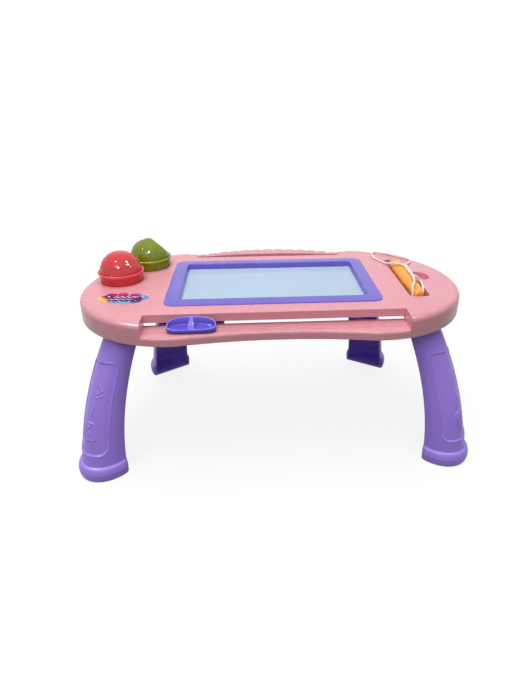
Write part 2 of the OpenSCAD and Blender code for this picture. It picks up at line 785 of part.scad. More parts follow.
// Tapered cup of a stamper with its round rim
module stamp_cup(at) translate([at[0], at[1], 0]) difference() {
    union() {
        rotate_extrude($fn = 96) difference() {
            polygon([[0, stamp_z], [stamp_foot_r, stamp_z], [stamp_r, table_h],
                     [stamp_rim_r - 2.2, rim_z], [0, rim_z]]);
            polygon([[0, stamp_z + 2 * stamp_wall], [stamp_foot_r - stamp_wall, stamp_z + 2 * stamp_wall],
                     [stamp_r - stamp_wall, table_h], [stamp_rim_r - 2.2 - stamp_wall, rim_z - 4],
                     [dome_r - stamp_wall - seat_gap, rim_z - 4],
                     [dome_r - stamp_wall - seat_gap, rim_z + 1], [0, rim_z + 1]]);
        }
        translate([0, 0, rim_z]) rotate_extrude($fn = 96) intersection() {
            translate([stamp_rim_r - rim_half, 0]) circle(rim_half, $fn = 32);
            translate([dome_r + seat_gap, -rim_half]) square(2 * stamp_rim_r);
        }
    }
    children();
}

module heart(r) polygon([for (t = [0 : 15 : 345])
    r / 16 * [16 * pow(sin(t), 3), 13 * cos(t) - 5 * cos(2 * t) - 2 * cos(3 * t) - cos(4 * t)]]);

module star(r) polygon([for (i = [0 : 9]) (i % 2 == 0 ? r : r * 0.5) * [sin(36 * i), cos(36 * i)]]);

module magnet_block(at, z, t) translate([at[0], at[1], z]) linear_extrude(t) children();

module red_stamp_cup() color([0.85, 0.26, 0.30]) stamp_cup([red_at[0], red_at[1]])
    translate([0, 0, stamp_z - 1]) linear_extrude(stamp_magnet_t + 1) star(20 + seat_gap);

module green_stamp_cup() color([0.50, 0.60, 0.10]) stamp_cup([green_at[0], green_at[1]])
    translate([0, 0, stamp_z - 1]) linear_extrude(stamp_magnet_t + 1) heart(18 + seat_gap);

module red_stamp_magnet() color([0.16, 0.15, 0.15])
    magnet_block(red_at, stamp_z, stamp_magnet_t - 0.1) star(20 - seat_gap);

module green_stamp_magnet() color([0.16, 0.15, 0.15])
    magnet_block(green_at, stamp_z, stamp_magnet_t - 0.1) heart(18 - seat_gap);

// Ring inside a dome's edge that plugs into the cup
module spigot() {
    out = dome_r - stamp_wall - 2 * seat_gap;
    rotate_extrude($fn = 96)
        polygon([[out - stamp_wall, rim_z - 3.5], [out, rim_z - 3.5], [out, rim_z + seat_gap / 2],
                 [dome_r - 0.8, rim_z + seat_gap / 2], [dome_r - 1.2, rim_z + 2.5],
                 [out - stamp_wall, rim_z + 2.5]]);
}

module red_stamp_dome() color([0.88, 0.32, 0.36]) translate([red_at[0], red_at[1], 0]) {
    rotate_extrude($fn = 96) intersection() {
        translate([0, rim_z]) difference() {
            circle(dome_r);
            circle(dome_r - stamp_wall);
        }
        translate([0, rim_z + seat_gap / 2]) square(2 * dome_r);
    }
    spigot();
}

module green_stamp_dome() color([0.52, 0.62, 0.12]) translate([green_at[0], green_at[1], 0]) {
    h = dome_r + green_peak;
    steps = 12;
    outer = [for (i = [0 : steps]) let (t = sin(90 * i / steps))
        [dome_r * pow(1 - pow(t, 1.9), 0.55), h * t]];
    inner = [for (i = [steps : -1 : 0]) let (t = sin(90 * i / steps))
        [(dome_r - stamp_wall) * pow(1 - pow(t, 1.9), 0.55), (h - 1.4 * stamp_wall) * t]];
    translate([0, 0, rim_z + seat_gap / 2]) rotate_extrude($fn = 96) polygon(concat(outer, inner));
    spigot();
}

// Pen section from its tail to the shoulder behind the nose
module pen_section() {
    neck = pen_l * 0.34;
    end_r = 3.4;
    flat_r = pen_r * 0.5;
    polygon(concat(
        [[0, 0]],
        [for (a = [0 : 18 : 90]) [flat_r + end_r * sin(a), end_r * (1 - cos(a))]],
        [[pen_r * 0.88, 15], [pen_r * 0.9, neck - 8], [pen_r * 0.98, neck], [pen_r, neck + 8],
         [pen_r, pen_l - nose_l - 22], [pen_r * 0.93, pen_l - nose_l - 1], [pen_r * 0.86, pen_l - nose_l],
         [0, pen_l - nose_l]]));
}

module along_pen() translate([pen_x, pen_tail_y, pen_z]) rotate([-90, 0, 0]) children();

// Barrel with a flat at its tail, which takes the tether, and a thumb notch where the flat starts
module pen_barrel() color([0.95, 0.65, 0.25]) difference() {
    along_pen() rotate_extrude($fn = 72) pen_section();
    translate([pen_x + tail_flat, pen_tail_y - 1, pen_z - 20]) cube([20, notch_at + 1, 40]);
    translate([pen_x + tail_flat + 4, pen_tail_y + notch_at, 0]) cylinder(r = notch_r, h = big, $fn = 48);
    translate([pen_x, pen_tip_y - nose_l - 6, pen_z]) rotate([-90, 0, 0])
        cylinder(r = 5 + seat_gap, h = 7, $fn = 32);
    translate([pen_x + tail_flat - 7, pen_tail_y + 12, pen_z]) rotate([0, 90, 0])
        cylinder(r = cord_r + screw_gap, h = 12, $fn = 24);
}

module pen_nose() color([0.96, 0.70, 0.32]) translate([pen_x, 0, pen_z]) rotate([-90, 0, 0]) difference() {
    union() {
        translate([0, 0, pen_tip_y - nose_l]) rotate_extrude($fn = 72)
            polygon([[0, 0], [pen_r * 0.84, 0], [pen_r * 0.78, 4], [pen_r * 0.5, nose_l - 1],
                     [pen_r * 0.42, nose_l], [0, nose_l]]);
        translate([0, 0, pen_tip_y - nose_l - 5.5]) cylinder(r = 5, h = 6, $fn = 32);
    }
    translate([0, 0, pen_tip_y - 5]) cylinder(r = pen_magnet_r + screw_gap, h = 8, $fn = 32);
}

module pen_magnet() color([0.30, 0.30, 0.32]) translate([pen_x, pen_tip_y - 5, pen_z]) rotate([-90, 0, 0])
    cylinder(r = pen_magnet_r, h = 5.6, $fn = 32);

// Route of the tether: up beside the pen's tail, over the pen, twisted with its own return,
// round the loop on the table and back to the hole in the pen's tail
function on_pen(x, y, up) = [pen_x + x, tray_at[1] + y, pen_z + pen_r + up];
function round_pen(a, y, up) =
    [pen_x + (pen_r + up) * sin(a), tray_at[1] + y, pen_z + (pen_r + up) * cos(a)];
function on_table(x, y, up) = [tray_at[0] + x, tray_at[1] + y, table_h + cord_r + up];
function over_anchor(z) = [anchor_at[0], anchor_at[1], z];
function to_hole(x, y, z) = [pen_x + tail_flat + x, tray_at[1] + y, pen_z + z];
twist_l = 46;
twist_r = 1.5;
function twisted(t, turn) = on_pen(1.9 + 0.8 * t + twist_r * cos(turn - 360 * t),
                                   twist_l * t - 31, 2.7 + twist_r * sin(turn - 360 * t));
cord_loop = [[-22, 70], [-26.5, 82], [-28, 92.5], [-27, 102.5], [-24, 110.5], [-17.5, 113], [-9, 108.5],
             [0.5, 102], [9.5, 94], [18, 85.5], [24.5, 77.5], [27, 70.5], [25.5, 63]];
cord_route = concat(
    [over_anchor(tray_z - floor_t), over_anchor(table_h - 8), over_anchor(table_h - 1),
     on_pen(-10.4, -71.5, -4.5), on_pen(-9.5, -67.5, -0.5), on_pen(-7, -61, 1.7), on_pen(-3.7, -54, 2.5),
     on_pen(-1.2, -44, 2.8)],
    [for (i = [0 : 4]) twisted(i / 4, 180)],
    [on_pen(-2, 21.5, 2.3), on_pen(-7, 28, 1.2), on_pen(-11.5, 36.5, -1), on_table(-14, 46, 3.2),
     on_table(-17.3, 58, 0.5)],
    [for (p = cord_loop) on_table(p[0], p[1], 0.05)],
    [on_table(21.5, 55.5, 0.1), on_table(16.8, 49.3, 0.8), on_table(12.8, 42.8, 3), on_pen(9.1, 35, -1.9),
     on_pen(6.5, 27, 0.8), on_pen(5, 20.5, 2.3)],
    [for (i = [4 : -1 : 0]) twisted(i / 4, 0)],
    [round_pen(29, -32.5, 2.9), round_pen(49, -33, 2.7), round_pen(66, -37, 2.6), round_pen(76, -44.5, 1.5),
     to_hole(6.5, -53, 1.3), to_hole(4.7, -59.2, 0.3), to_hole(2.3, -62.5, 0), to_hole(-0.3, -63, 0),
     to_hole(-3.1, -63, 0)]);

cord_sides = 8;
function spline(p0, p1, p2, p3, t) =
    0.5 * (2 * p1 + (p2 - p0) * t + (2 * p0 - 5 * p1 + 4 * p2 - p3) * t * t
           + (3 * p1 - p0 - 3 * p2 + p3) * t * t * t);
function route_at(u) =
    let (n = len(cord_route), i = min(n - 2, floor(u)), a = cord_route[max(0, i - 1)], b = cord_route[i],
         c = cord_route[i + 1], d = cord_route[min(n - 1, i + 2)])
    spline(a, b, c, d, u - i);
function unit(v) = v / norm(v);
cord_up = [-0.35, 0.62, 0.7];

module pen_cord() color([0.95, 0.95, 0.93]) {
    n = 2 * (len(cord_route) - 1);
    centre = [for (k = [0 : n]) route_at(k / 2)];
    ahead = [for (k = [0 : n]) unit(centre[min(n, k + 1)] - centre[max(0, k - 1)])];
    across = [for (t = ahead) unit(cross(t, cord_up))];
    pts = [for (k = [0 : n]) for (j = [0 : cord_sides - 1])
        centre[k] + cord_r * (cos(45 * j) * across[k] + sin(45 * j) * cross(across[k], ahead[k]))];
    sides = [for (k = [0 : n - 1]) for (j = [0 : cord_sides - 1])
        let (a = k * cord_sides + j, b = k * cord_sides + (j + 1) % cord_sides)
        each [[a, b, b + cord_sides], [a, b + cord_sides, a + cord_sides]]];
    last = n * cord_sides;
    ends = [for (j = [1 : cord_sides - 2]) each [[0, j + 1, j], [last, last + j, last + j + 1]]];
    polyhedron(points = pts, faces = concat(sides, ends), convexity = 8);
}

module cord_knot() color([0.95, 0.95, 0.93])
    translate([anchor_at[0], anchor_at[1], tray_z - floor_t - seat_gap - knot_r]) sphere(knot_r, $fn = 32);

// Printed label: a splash outline of overlapping rounds
label_rounds = [[-24, -2, 9], [-12, -9, 9], [4, -11, 9], [18, -7, 9],
                [26, 3, 8], [14, 9, 9], [-4, 11, 8], [-18, 8, 8]];
module sticker() color([0.45, 0.15, 0.45])
    translate([label_at[0], label_at[1], table_h]) rotate([0, 0, -7]) linear_extrude(0.2) {
        round_rect(50, 26, 12);
        for (p = label_rounds) translate([p[0], p[1]]) circle(p[2], $fn = 40);
    }

table_top();
screen_frame();
clear_film();
honeycomb_core();
back_film();
frame_screws();
eraser_dish();
eraser_carriage();
eraser_magnet();
rear_guide();
guide_screws();
leg_front_left();
leg_front_right();
leg_back_left();
leg_back_right();
red_stamp_dome();
red_stamp_cup();
red_stamp_magnet();
green_stamp_dome();
green_stamp_cup();
green_stamp_magnet();
pen_barrel();
pen_nose();
pen_magnet();
pen_cord();
cord_knot();
sticker();
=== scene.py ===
import json

import bmesh
import bpy
import numpy as np
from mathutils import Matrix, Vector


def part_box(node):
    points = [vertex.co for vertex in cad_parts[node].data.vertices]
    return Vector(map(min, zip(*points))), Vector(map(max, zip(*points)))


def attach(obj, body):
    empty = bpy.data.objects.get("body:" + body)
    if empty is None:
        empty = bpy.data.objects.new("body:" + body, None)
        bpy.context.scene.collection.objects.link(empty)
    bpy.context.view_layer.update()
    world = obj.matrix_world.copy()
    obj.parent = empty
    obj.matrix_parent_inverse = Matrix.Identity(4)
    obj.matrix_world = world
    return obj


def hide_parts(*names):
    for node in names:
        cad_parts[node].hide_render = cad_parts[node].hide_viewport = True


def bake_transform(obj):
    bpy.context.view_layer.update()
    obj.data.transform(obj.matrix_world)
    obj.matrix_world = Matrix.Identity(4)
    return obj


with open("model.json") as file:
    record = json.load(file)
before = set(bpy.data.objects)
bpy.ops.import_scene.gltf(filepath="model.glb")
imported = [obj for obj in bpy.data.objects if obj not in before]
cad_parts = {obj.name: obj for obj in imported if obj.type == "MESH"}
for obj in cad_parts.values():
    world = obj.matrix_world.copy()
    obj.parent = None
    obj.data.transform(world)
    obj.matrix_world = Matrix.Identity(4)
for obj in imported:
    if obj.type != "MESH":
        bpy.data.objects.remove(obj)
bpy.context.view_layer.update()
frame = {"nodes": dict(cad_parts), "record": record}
scene = bpy.context.scene
scene.view_settings.view_transform = "Standard"


# Camera: stands in front of the table, a little left of its middle, and looks
# down on it as somebody who is about to sit down would.
camera = bpy.data.objects.new("camera", bpy.data.cameras.new("camera"))
camera.data.lens = 27.0
camera.data.sensor_width = 36.0
camera.data.shift_x = -0.0281
camera.data.shift_y = -0.0229
camera.location = (-0.0319, -0.7331, 0.4950)
camera.rotation_euler = np.radians((63.70, 0.0, -3.76))
scene.collection.objects.link(camera)
scene.camera = camera


# Pen tether: a soft braided polyester cord, 3 mm thick. It comes up through a hole beside
# the tray, runs up the pen, makes one loop on the table, twists with itself on the way back
# and ends in the hole in the pen's tail.
def paint(red, green, blue):
    """A colour written as 0 to 255 display values, as the linear colour that a shader takes."""
    shown = np.array((red, green, blue)) / 255
    return (*np.where(shown <= 0.04045, shown / 12.92, ((shown + 0.055) / 1.055) ** 2.4), 1.0)


def skin(rings, loop=False):
    """Rings of points, rows by columns by 3, as (points, faces): each point joins its neighbour
    round the ring and the one below it, and the end rings are closed flat, or meet if loop.
    The faces are turned so that the volume they enclose is positive."""
    rings = np.asarray(rings)
    rows, turn = rings.shape[:2]
    row, column = np.meshgrid(np.arange(rows if loop else rows - 1), np.arange(turn), indexing="ij")
    below, beside = (row + 1) % rows, (column + 1) % turn
    sides = np.stack([row * turn + column, row * turn + beside, below * turn + beside,
                      below * turn + column], -1).reshape(-1, 4)
    points = rings.reshape(-1, 3)
    a, b, c, d = (points[sides[:, k]] - points.mean(0) for k in range(4))
    volume = (a * np.cross(b, c)).sum() + (a * np.cross(c, d)).sum()
    faces = [sides]
    if not loop:
        first, last = np.arange(turn)[None], np.arange(turn)[None] + (rows - 1) * turn
        faces += [first[:, ::-1], last]
    if volume < 0:
        faces = [f[:, ::-1] for f in faces]
    return points, faces


def add_piece(name, *skins, crease=40):
    """Puts (points, faces) pairs in millimetres into one mesh object in metres, shaded smooth
    across every edge flatter than the crease angle."""
    points = np.concatenate([s[0] for s in skins]).astype(np.float32) * 0.001
    starts = np.cumsum([0] + [len(s[0]) for s in skins])
    faces = [f + start for s, start in zip(skins, starts) for f in s[1]]
    sizes = np.concatenate([np.full(len(f), f.shape[1]) for f in faces])
    corners = np.concatenate([f.ravel() for f in faces])
    mesh = bpy.data.meshes.new(name)
    mesh.vertices.add(len(points))
    mesh.vertices.foreach_set("co", points.ravel())
    mesh.loops.add(len(corners))
    mesh.loops.foreach_set("vertex_index", corners.astype(np.int32))
    mesh.polygons.add(len(sizes))
    mesh.polygons.foreach_set("loop_start", (np.cumsum(sizes) - sizes).astype(np.int32))
    mesh.update(calc_edges=True)
    mesh.polygons.foreach_set("use_smooth", np.ones(len(sizes), bool))
    mesh.set_sharp_from_angle(angle=np.radians(crease))
    piece = bpy.data.objects.new(name, mesh)
    scene.collection.objects.link(piece)
    return piece


def spline(route, per):
    """Points on the smooth curve through a route, per points to each leg of it: a Catmull-Rom
    cubic, whose slope at a point is half the way from the one before to the one after."""
    route = np.asarray(route, float)
    before = np.vstack([route[:1], route[:-2]])
    after = np.vstack([route[2:], route[-1:]])
    t = (np.arange(per) / per)[None, :, None]
    p0, p1, p2, p3 = (p[:, None] for p in (before, route[:-1], route[1:], after))
    legs = 0.5 * (2 * p1 + (p2 - p0) * t + (2 * p0 - 5 * p1 + 4 * p2 - p3) * t ** 2
                  + (3 * p1 - p0 - 3 * p2 + p3) * t ** 3)
    return np.vstack([legs.reshape(-1, 3), route[-1:]])


def sweep(line, radius, sides):
    """Rings round a line: radius is a number or rows by sides, and each ring stands square to
    the line, its first point turned by one fixed direction."""
    lean = (-0.35, 0.62, 0.7)
    ahead = np.gradient(line, axis=0)
    ahead /= np.linalg.norm(ahead, axis=1, keepdims=True)
    across = np.cross(ahead, lean)
    across /= np.linalg.norm(across, axis=1, keepdims=True)
    turn = np.linspace(0, 2 * np.pi, sides, endpoint=False)[None, :, None]
    reach = np.broadcast_to(radius, (len(line), sides))[:, :, None]
    return line[:, None] + reach * (np.cos(turn) * across[:, None]
                                    + np.sin(turn) * np.cross(across, ahead)[:, None])


pen_x, pen_mid_y, pen_z, pen_r = 197.5, -14.0, 226.0, 11.15
loop_x, tail_x, table_z, cord_r = 197.0, 201.5, 228.0, 1.5


def on_pen(x, y, up):
    """A point counted from the middle of the pen's highest line: across, along and up."""
    return (pen_x + x, pen_mid_y + y, pen_z + pen_r + up)


def on_table(x, y, up):
    """A point of the loop, whose height counts from that of a cord that lies on the table."""
    return (loop_x + x, pen_mid_y + y, table_z + cord_r + up)


def round_pen(angle, y, up):
    """A point at an angle from the pen's highest line: its distance from the axis goes across with
    the sine of the angle and up with the cosine."""
    angle = np.radians(angle)
    return (pen_x + (pen_r + up) * np.sin(angle), pen_mid_y + y, pen_z + (pen_r + up) * np.cos(angle))


def to_hole(x, y, z):
    """A point near the pen's tail: across from its hole's mouth, along and up from the pen's middle."""
    return (tail_x + x, pen_mid_y + y, pen_z + z)


def twisted(t, start):
    """A point t of the way up the twist: one of two strands that go once round each other, each
    its own radius from the line between them."""
    turn = np.radians(start - 360 * t)
    return on_pen(1.9 + 0.8 * t + cord_r * np.cos(turn), 46 * t - 31, 2.7 + cord_r * np.sin(turn))


cord_loop = [(-22, 70), (-26.5, 82), (-28, 92.5), (-27, 102.5), (-24, 110.5), (-17.5, 113), (-9, 108.5),
             (0.5, 102), (9.5, 94), (18, 85.5), (24.5, 77.5), (27, 70.5), (25.5, 63)]
cord_route = [
    (187, -87, 212.5), (187, -87, 220), (187, -87, 227),
    on_pen(-10.4, -71.5, -4.5), on_pen(-9.5, -67.5, -0.5), on_pen(-7, -61, 1.7),
    on_pen(-3.7, -54, 2.5), on_pen(-1.2, -44, 2.8),
    *[twisted(k / 4, 180) for k in range(5)],
    on_pen(-2, 21.5, 2.3), on_pen(-7, 28, 1.2), on_pen(-11.5, 36.5, -1),
    on_table(-14, 46, 3.2), on_table(-17.3, 58, 0.5),
    *[on_table(x, y, 0.05) for x, y in cord_loop],
    on_table(21.5, 55.5, 0.1), on_table(16.8, 49.3, 0.8), on_table(12.8, 42.8, 3),
    on_pen(9.1, 35, -1.9), on_pen(6.5, 27, 0.8), on_pen(5, 20.5, 2.3),
    *[twisted(k / 4, 0) for k in range(4, -1, -1)],
    round_pen(29, -32.5, 2.9), round_pen(49, -33, 2.7), round_pen(66, -37, 2.6), round_pen(76, -44.5, 1.5),
    to_hole(6.5, -53, 1.3), to_hole(4.7, -59.2, 0.3), to_hole(2.3, -62.5, 0), to_hole(-0.3, -63, 0),
    to_hole(-3.1, -63, 0),
]
cord_line = spline(cord_route, 24)
cord_run = np.concatenate([[0], np.cumsum(np.linalg.norm(np.diff(cord_line, axis=0), axis=1))])
cord_sides, braid_pitch, yarns = 24, 10.5, 4
braid_angle = np.linspace(0, 2 * np.pi, cord_sides, endpoint=False)[None]
braid_turn = 2 * np.pi * cord_run[:, None] / braid_pitch
# the braid's yarns stand up where a left-hand and a right-hand winding cross
braid = np.cos(yarns * (braid_angle + braid_turn)) * np.cos(yarns * (braid_angle - braid_turn))
tether = add_piece("pen_tether", skin(sweep(cord_line, cord_r * (0.985 + 0.03 * braid), cord_sides)),
                   crease=80)
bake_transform(tether)


def connect(tree, source, output, target, entry):
    """Links one node's output to another's entry."""
    tree.links.new(source.outputs[output], target.inputs[entry])


def add_noise(tree, scale, detail, finer=(1, 1, 1), turn=(0, 0, 0)):
    """A cloud pattern fixed to the object, so many times finer along each axis, and turned."""
    place = tree.nodes.new("ShaderNodeTexCoord")
    mapping = tree.nodes.new("ShaderNodeMapping")
    mapping.inputs["Scale"].default_value = finer
    mapping.inputs["Rotation"].default_value = turn
    cloud = tree.nodes.new("ShaderNodeTexNoise")
    cloud.inputs["Scale"].default_value = scale
    cloud.inputs["Detail"].default_value = detail
    connect(tree, place, "Object", mapping, "Vector")
    connect(tree, mapping, "Vector", cloud, "Vector")
    return cloud


def add_range(tree, source, output, low, high, start=0.3, end=0.7):
    """Maps a pattern's start to end onto low to high, and holds it there beyond them."""
    band = tree.nodes.new("ShaderNodeMapRange")
    for name, value in (("From Min", start), ("From Max", end), ("To Min", low), ("To Max", high)):
        band.inputs[name].default_value = value
    connect(tree, source, output, band, "Value")
    return band


def add_tones(tree, source, one, two, most=1.0, start=0.3, end=0.7, output="Fac"):
    """Passes from colour one towards two, at most that share of the way, as a pattern goes from
    start to end. A colour is what paint gives, or a (node, output) pair such as this returns."""
    share = add_range(tree, source, output, 0.0, most, start, end)
    mixer = tree.nodes.new("ShaderNodeMix")
    mixer.data_type = "RGBA"
    connect(tree, share, "Result", mixer, 0)
    for place, colour in ((6, one), (7, two)):
        if isinstance(colour[0], float):
            mixer.inputs[place].default_value = colour
        else:
            connect(tree, *colour, mixer, place)
    return mixer, 2


def add_surface(tree, shader, rough, *layers):
    """Lets a pattern move the shader's roughness, given as (pattern, low, high) and where wished
    its start and end, and chains bump layers, each (pattern, depth in metres), into its normal."""
    connect(tree, add_range(tree, rough[0], "Fac", *rough[1:]), "Result", shader, "Roughness")
    last = None
    for source, depth in layers:
        bump = tree.nodes.new("ShaderNodeBump")
        bump.inputs["Distance"].default_value = depth
        connect(tree, source, "Fac", bump, "Height")
        if last:
            connect(tree, last, "Normal", bump, "Normal")
        last = bump
    connect(tree, last, "Normal", shader, "Normal")


def new_material(name, **sockets):
    """A material whose Principled shader has these sockets set, as (material, tree, shader)."""
    material = bpy.data.materials.new(name)
    material.use_nodes = True
    shader = material.node_tree.nodes["Principled BSDF"]
    for socket, value in sockets.items():
        shader.inputs[socket.replace("_", " ")].default_value = value
    return material, material.node_tree, shader


braided_cord, tree, shader = new_material("braided_cord", Specular_IOR_Level=0.25, Sheen_Weight=0.3)
fibres = add_noise(tree, 2600, 2)
soiled = add_tones(tree, add_noise(tree, 90, 3), paint(243, 241, 237), paint(228, 224, 216), 1.0, 0.35, 0.75)
connect(tree, *soiled, shader, "Base Color")
add_surface(tree, shader, (fibres, 0.6, 0.85), (fibres, 0.00012))
tether.data.materials.append(braided_cord)
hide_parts("pen_cord")

# the knot that stops the cord under the tray: an overhand knot drawn tight, in which the cord is
# squeezed thinner, with a short end that widens where it was cut
knot_low, knot_high = (1000 * np.array(corner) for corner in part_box("cord_knot"))
knot_mid = (knot_low + knot_high) / 2
knot_size, squeezed_r, end_r = 0.62, 1.2, 1.15
around = np.linspace(0, 2 * np.pi, 120, endpoint=False)
knot_line = knot_mid + knot_size * np.stack([np.sin(around) + 2 * np.sin(2 * around),
                                             np.cos(around) - 2 * np.cos(2 * around),
                                             -1.6 * np.sin(3 * around)], -1)
ahead = np.roll(knot_line, -1, axis=0) - np.roll(knot_line, 1, axis=0)
ahead /= np.linalg.norm(ahead, axis=1, keepdims=True)
side = np.cross(ahead, (0.0, 0.0, 1.0))
side /= np.linalg.norm(side, axis=1, keepdims=True)
turn = np.linspace(0, 2 * np.pi, 16, endpoint=False)[None, :, None]
knot_rings = knot_line[:, None] + squeezed_r * (np.cos(turn) * side[:, None]
                                                + np.sin(turn) * np.cross(side, ahead)[:, None])
end_line = spline([knot_mid + (0.6, 0.4, 0), knot_mid + (1.6, 1.2, -1.6), knot_mid + (1.9, 2.6, -4.2),
                   knot_mid + (1.2, 3.2, -7.0)], 10)
end_flare = np.concatenate([np.full(22, end_r), np.linspace(end_r, cord_r, 9)])[:, None]
knot = add_piece("tether_knot", skin(knot_rings, loop=True),
                 skin(sweep(end_line, end_flare, 16)), crease=80)
knot.data.materials.append(braided_cord)
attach(knot, "table")
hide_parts("cord_knot")


# Table top: one large moulding in pink polypropylene, hollow below, with its edge turned down all
# round, two round wells, the screen's seat, the pen tray, the eraser's ledge and the carry handle.
# The corners of the mould are eased by 0.6 mm, and low grip pads stand on the carry bar.
def merged_copy(node, name, crease=35, ease=0.0, extra=(), reshape=None):
    """A node's own surface with its doubled corners joined, put in that node's place. With ease,
    its flat faces are made whole and its sharp edges rounded by that many millimetres. Skins in
    extra stand on it, and reshape moves its points, in millimetres."""
    work = bmesh.new()
    work.from_mesh(frame["nodes"][node].data)
    bmesh.ops.remove_doubles(work, verts=work.verts, dist=2e-6)
    if ease:
        flat_within = np.radians(1.0)
        bmesh.ops.dissolve_limit(work, angle_limit=flat_within, verts=work.verts, edges=work.edges)
    work.verts.index_update()
    corners = np.array([v.co[:] for v in work.verts])
    if reshape:
        corners = reshape(corners * 1000) / 1000
    corners = corners.tolist()
    faces = [[v.index for v in f.verts] for f in work.faces]
    work.free()
    for points, patches in extra:
        faces += [(row + len(corners)).tolist() for patch in patches for row in patch]
        corners += (points / 1000).tolist()
    mesh = bpy.data.meshes.new(name)
    mesh.from_pydata(corners, [], faces)
    mesh.polygons.foreach_set("use_smooth", np.ones(len(mesh.polygons), bool))
    mesh.set_sharp_from_angle(angle=np.radians(crease))
    piece = bpy.data.objects.new(name, mesh)
    scene.collection.objects.link(piece)
    if ease:
        rounding = piece.modifiers.new("eased_edges", "BEVEL")
        rounding.width = ease / 1000
        rounding.segments = 2
        rounding.limit_method = "ANGLE"
        rounding.angle_limit = np.radians(crease)
        rounding.harden_normals = True
    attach(piece, body_of[node])
    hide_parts(node)
    return piece


def moulded(name, light, deep, gloss=(0.22, 0.34), ripple=0.00005, grain=0.000004, drift=9.0, shine=0.35):
    """Moulded plastic: two near tones that drift in broad clouds and in the flow of the melt, a
    sheen that is a little uneven where hands rub it, a slow ripple and a fine grain."""
    material, tree, shader = new_material(name, Specular_IOR_Level=shine, IOR=1.49)
    clouds = add_noise(tree, drift, 4)
    flow = add_noise(tree, 11, 3, (1, 3, 2), (0.2, 0.1, 0.6))
    first = add_tones(tree, clouds, light, deep, 0.8)
    both = add_tones(tree, flow, first, deep, 0.2, 0.4, 0.8)
    connect(tree, *both, shader, "Base Color")
    add_surface(tree, shader, (add_noise(tree, 24, 4), *gloss, 0.35, 0.75),
                (add_noise(tree, 22, 2), ripple), (add_noise(tree, 1500, 2), grain))
    return material


body_of = {node: body for body, nodes in frame["record"]["behaviour"]["bodies"].items() for node in nodes}
pink = moulded("pink_polypropylene", paint(226, 158, 169), paint(219, 149, 160), ripple=0.000008, shine=0.28)
pad_pitch, pad_half, pad_high, pad_gap, bar_z = 18.3, 8.3, 1.3, 1.2, 224.0
front_arc_r, front_arc_y, back_arc_r, back_arc_y = 600.0, -479.0, 245.0, -98.5


def level(plan, height):
    """An outline of (x, y) rows as points that all lie at one height."""
    return np.column_stack([plan, np.full(len(plan), height)])


def grip_pad(number):
    """A low pad between two grooves of the carry bar, whose edges are arcs: rings of a long
    round-ended outline that shrink as the square root of what is left of the height, so that its
    ends stand steep."""
    x = pad_pitch * number
    front = np.sqrt(front_arc_r ** 2 - x ** 2) + front_arc_y
    back = np.sqrt(back_arc_r ** 2 - x ** 2) + back_arc_y
    fan = np.radians(x / 4.2)
    spin = np.array([[np.cos(fan), -np.sin(fan)], [np.sin(fan), np.cos(fan)]])
    turn = np.linspace(0, 2 * np.pi, 48, endpoint=False)
    cos, sin = np.cos(turn), np.sin(turn)
    plan = np.stack([pad_half * np.sign(cos) * abs(cos) ** 0.4,
                     ((back - front) / 2 - pad_gap) * np.sign(sin) * abs(sin) ** 0.7], -1) @ spin
    rings = []
    for up in (-0.8, 0.0, 0.4, 0.7, 0.95, 1.12, 1.22, 1.28, pad_high):
        shrink = 0.7 + 0.3 * np.sqrt(1 - max(up, 0) / pad_high) if up < pad_high else 0.3
        rings.append(level((x, (front + back) / 2) + shrink * plan, bar_z + up))
    return skin(rings)


top = merged_copy("table_top", "table_moulding", crease=32, ease=0.6,
                  extra=[grip_pad(k) for k in range(-6, 7)])
top.data.materials.append(pink)


# Screen frame: a violet moulding that drops into the table's seat and clamps the drawing panel.
# Its face rises from a thin lip to a crest, then falls steeply to the panel.
def round_corners(half_w, half_d, r):
    """A rectangle with round corners, anticlockwise, eleven points to each corner: the middle of
    the corner's circle plus its radius times the cosine and the sine of the turn."""
    arc = np.radians(np.linspace(0, 90, 11))
    turns = np.concatenate([arc + np.radians(90 * k) for k in range(4)])
    mid = np.repeat([(1, 1), (-1, 1), (-1, -1), (1, -1)], len(arc), axis=0) * (half_w - r, half_d - r)
    return mid + r * np.stack([np.cos(turns), np.sin(turns)], -1)


violet_frame_plastic = moulded("violet_frame_plastic", paint(116, 102, 203), paint(104, 90, 193), (0.2, 0.32))
frame_profile = [(0, 228.0), (0, 228.9), (0.25, 229.25), (0.8, 229.4), (1.6, 229.45), (2.6, 229.55),
                 (4.5, 229.75), (7.5, 229.95), (11, 230.15), (14.5, 230.32), (16.8, 230.4), (17.9, 230.35),
                 (18.6, 230.05), (18.95, 229.4), (19.1, 228.4), (19.35, 225), (19.5, 222.2), (17.6, 222.2),
                 (17.4, 227.4), (16.6, 228.1), (5.2, 227.9), (4.2, 227.2), (4.2, 222.2), (2.3, 222.2),
                 (2.3, 227.9), (1.9, 228.0)]
screen_mid = np.array((0.0, -16.0))
frame_half_w, frame_half_d, corner_out, corner_in, rim_wide = 145, 89.5, 14, 4, 19.5
# each ring is a rectangle smaller by the inset, its corners passing evenly from outer to inner
frame_rings = []
for inset, height in frame_profile:
    corner_r = corner_out + (corner_in - corner_out) * inset / rim_wide
    outline = round_corners(frame_half_w - inset, frame_half_d - inset, corner_r)
    frame_rings.append(level(outline + screen_mid, height))
ring_turn = np.linspace(0, 2 * np.pi, 28, endpoint=False)
circle = np.stack([np.cos(ring_turn), np.sin(ring_turn)], -1)


def posts(places, r, low, high):
    """Upright round posts from low to high, one skin for each place."""
    return [skin([level(place + r * circle, z) for z in (low, high)]) for place in places]


